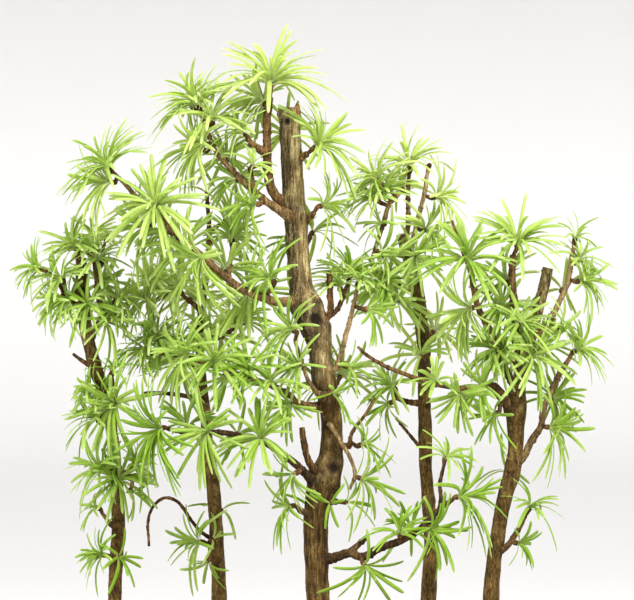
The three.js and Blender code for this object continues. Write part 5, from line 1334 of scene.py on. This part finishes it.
def makeSoil():
    form = newForm()
    rings = soilRings()
    for i, ring in enumerate(rings[3:]):
        for point in ring:
            rough = noise.noise(point / 2.6) * 0.7 + noise.noise(point / 17) * 1.1
            cushion = mossAt(point * mm) * (1.6 + 1.2 * noise.noise(point / 5))
            point.z += (rough + cushion) * min(1, i / ground["eased"])
    addSkin(form, rings)
    mesh = meshOf(form, "soil", [grit, moss])
    bare, cover = [], []
    for vertex in mesh.vertices:
        top = 1.0 if vertex.co.z > (tray["height"] - ground["rim"] - 0.5) * mm else 0.0
        cover.append(top * mossAt(vertex.co))
        bare.append(top * (1 - cover[-1]))
    for key, data in (("bare", bare), ("moss", cover), ("tint", [ground["tint"]] * len(bare))):
        mesh.attributes.new(key, "FLOAT", "POINT").data.foreach_set("value", data)
    for face in mesh.polygons:
        if sum(cover[v] for v in face.vertices) > 0.45 * len(face.vertices):
            face.material_index = 1
    soil = newObject("soil_bed", mesh)
    layers = []
    for name, material, tilt, share, size, least, most in (
        ("bare", grit, 3.1, ground["grains"], ground["grain"], 0.5, 1.25),
        ("moss", moss, 0.6, ground["moss"], ground["sprig"], 0.6, 1.3),
    ):
        sizes = {"Density": share * 1e6, "Least": least * size * mm, "Most": most * size * mm}
        layer = newObject("strewn_" + name, mesh.copy())
        grow(layer, makeStrewTree(name, material, tilt, sizes), ground["seed"] + len(layers))
        layers.append(layer)
    join(soil, layers)
    finished(soil, "soil")


clip = {"radius": 0.8, "span": 13, "foot": 6, "side": 6.5, "top": 17.4, "bottom": 6.9}


def smoothWire(point, radius, travelled, turn):
    return 0, 0, 0


# A staple of wire over the screen, down through the hole, its ends turned out below.
def makeClip(name, x):
    half = clip["span"] / 2
    outer = tray["hole"] + clip["foot"] - half
    low, top = clip["bottom"], clip["top"]
    leg = [(outer + half, low), (half + 1.6, low), (half + 0.4, low + 0.5), (half, low + 1.6)]
    leg += [(half, top - 1.6), (half - 0.5, top - 0.5), (half - 1.6, top)]
    ends = leg + [(-away, z) for away, z in reversed(leg)]
    line = [(Vector((x + away, clip["side"], z)) * mm, clip["radius"] * mm) for away, z in ends]
    form = newForm()
    addTube(form, smoothed(line, 0.6), 10, smoothWire, 0.5)
    obj = newObject(name + "_wire", meshOf(form, name, [wire]))
    finished(obj, name)


makeTray()
print("tray made")
makeSoil()
print("soil made")
for side, x in (("left", -tray["holeOffset"]), ("right", tray["holeOffset"])):
    makeClip("screen_clip_" + side, x)
    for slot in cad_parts["drain_screen_" + side].material_slots:
        slot.material = meshPlastic
print("screens and clips made")

# Camera, floor and light


view = {
    "width": 634,  # the picture's width, as many pixels as sheet units
    "middle": 317,
    "sensor": 36,
    "wallRadius": 4.2,  # metres
    "wallHeight": 6,
    "wallCorner": 1.4,
    "around": 96,
}


def makeCamera():
    data = bpy.data.cameras.new("camera")
    data.sensor_width = view["sensor"]
    data.lens = view["sensor"] * sheet["eyeDistance"] / (view["width"] * sheet["unit"])
    data.shift_x = (view["middle"] - sheet["across"]) / view["width"]
    data.clip_end = 100
    camera = newObject("camera", data)
    camera.location = (0, -(sheet["eyeDistance"] + sheet["forward"]) * mm, eyeHeight * mm)
    camera.rotation_euler = (math.pi / 2, 0, 0)
    scene.camera = camera


# A round white studio cove: a floor that curves up into a wall all round.
def makeStage():
    material, add, given = newMaterial("studio paint with painted shade", {})
    # painted shade: greyer in the floor's middle, under the lamps, and greyer up the wall, so that the
    # cove is palest where floor meets wall
    away = add("ShaderNodeVectorMath", {"operation": "LENGTH", "Vector": given["place"]})
    far = {"From Min": 1.2, "From Max": 4.0, "Value": away.outputs["Value"]}
    outer = add("ShaderNodeMapRange", far)
    upward = add("ShaderNodeSeparateXYZ", {"Vector": given["place"]}).outputs["Z"]
    higher = add("ShaderNodeMapRange", {"From Min": 0.5, "From Max": 1.15, "Value": upward})
    walls = {"Factor_Float": higher, "A_Color": linear("#F6F6F5"), "B_Color": linear("#DEDCDB")}
    wall = add("ShaderNodeMix", {"data_type": "RGBA", **walls})
    tones = {"Factor_Float": outer, "A_Color": linear("#DAD9D8"), "B_Color": wall}
    tone = add("ShaderNodeMix", {"data_type": "RGBA", **tones})
    matt = {"Base Color": tone, "Roughness": 0.9, "Specular IOR Level": 0.1}
    add("ShaderNodeOutputMaterial", {"Surface": add("ShaderNodeBsdfPrincipled", matt)})
    profile = [(1.2, 0), (2.6, 0)]
    corner = view["wallCorner"]
    for step in range(1, 13):
        turn = math.pi / 2 * step / 12
        x = view["wallRadius"] - corner + corner * math.sin(turn)
        profile.append((x, corner - corner * math.cos(turn)))
    profile.append((view["wallRadius"], view["wallHeight"]))
    around = view["around"]
    form = newForm()
    addPoint(form, Vector((0, 0, 0)))
    for radius, height in profile:
        for k in range(around):
            turn = 2 * math.pi * k / around
            addPoint(form, Vector((radius * math.cos(turn), radius * math.sin(turn), height)))
    for k in range(around):
        addFace(form, (0, 1 + k, 1 + (k + 1) % around), 0)
    for i in range(1, len(profile)):
        joinRings(form, 1 + i * around, 1 + (i - 1) * around, around)
    newObject("studio_cove", meshOf(form, "studio cove", [material]))


def makeLight(name, place, aim, size, power):
    data = bpy.data.lights.new(name, "AREA")
    data.shape = "DISK"
    data.size = size
    data.energy = power
    light = newObject(name, data)
    light.location = place
    light.rotation_mode = "QUATERNION"
    light.rotation_quaternion = (Vector(aim) - Vector(place)).to_track_quat("-Z", "Y")


def makeSky():
    world = bpy.data.worlds.new("studio air")
    world.use_nodes = True
    air = world.node_tree.nodes["Background"].inputs
    air["Color"].default_value = (1, 1, 1, 1)
    air["Strength"].default_value = 1.0
    scene.world = world


makeCamera()
makeStage()
makeSky()
makeLight("key", (0.9, -1.5, 2.2), (0, 0, 0.3), 0.9, 95)
makeLight("fill", (-1.8, -1.2, 1.2), (0, 0, 0.3), 1.6, 36)
makeLight("backdrop", (0, 2.4, 2.4), (0, 4, 0.3), 2.4, 3)
scene.view_settings.view_transform = "Standard"
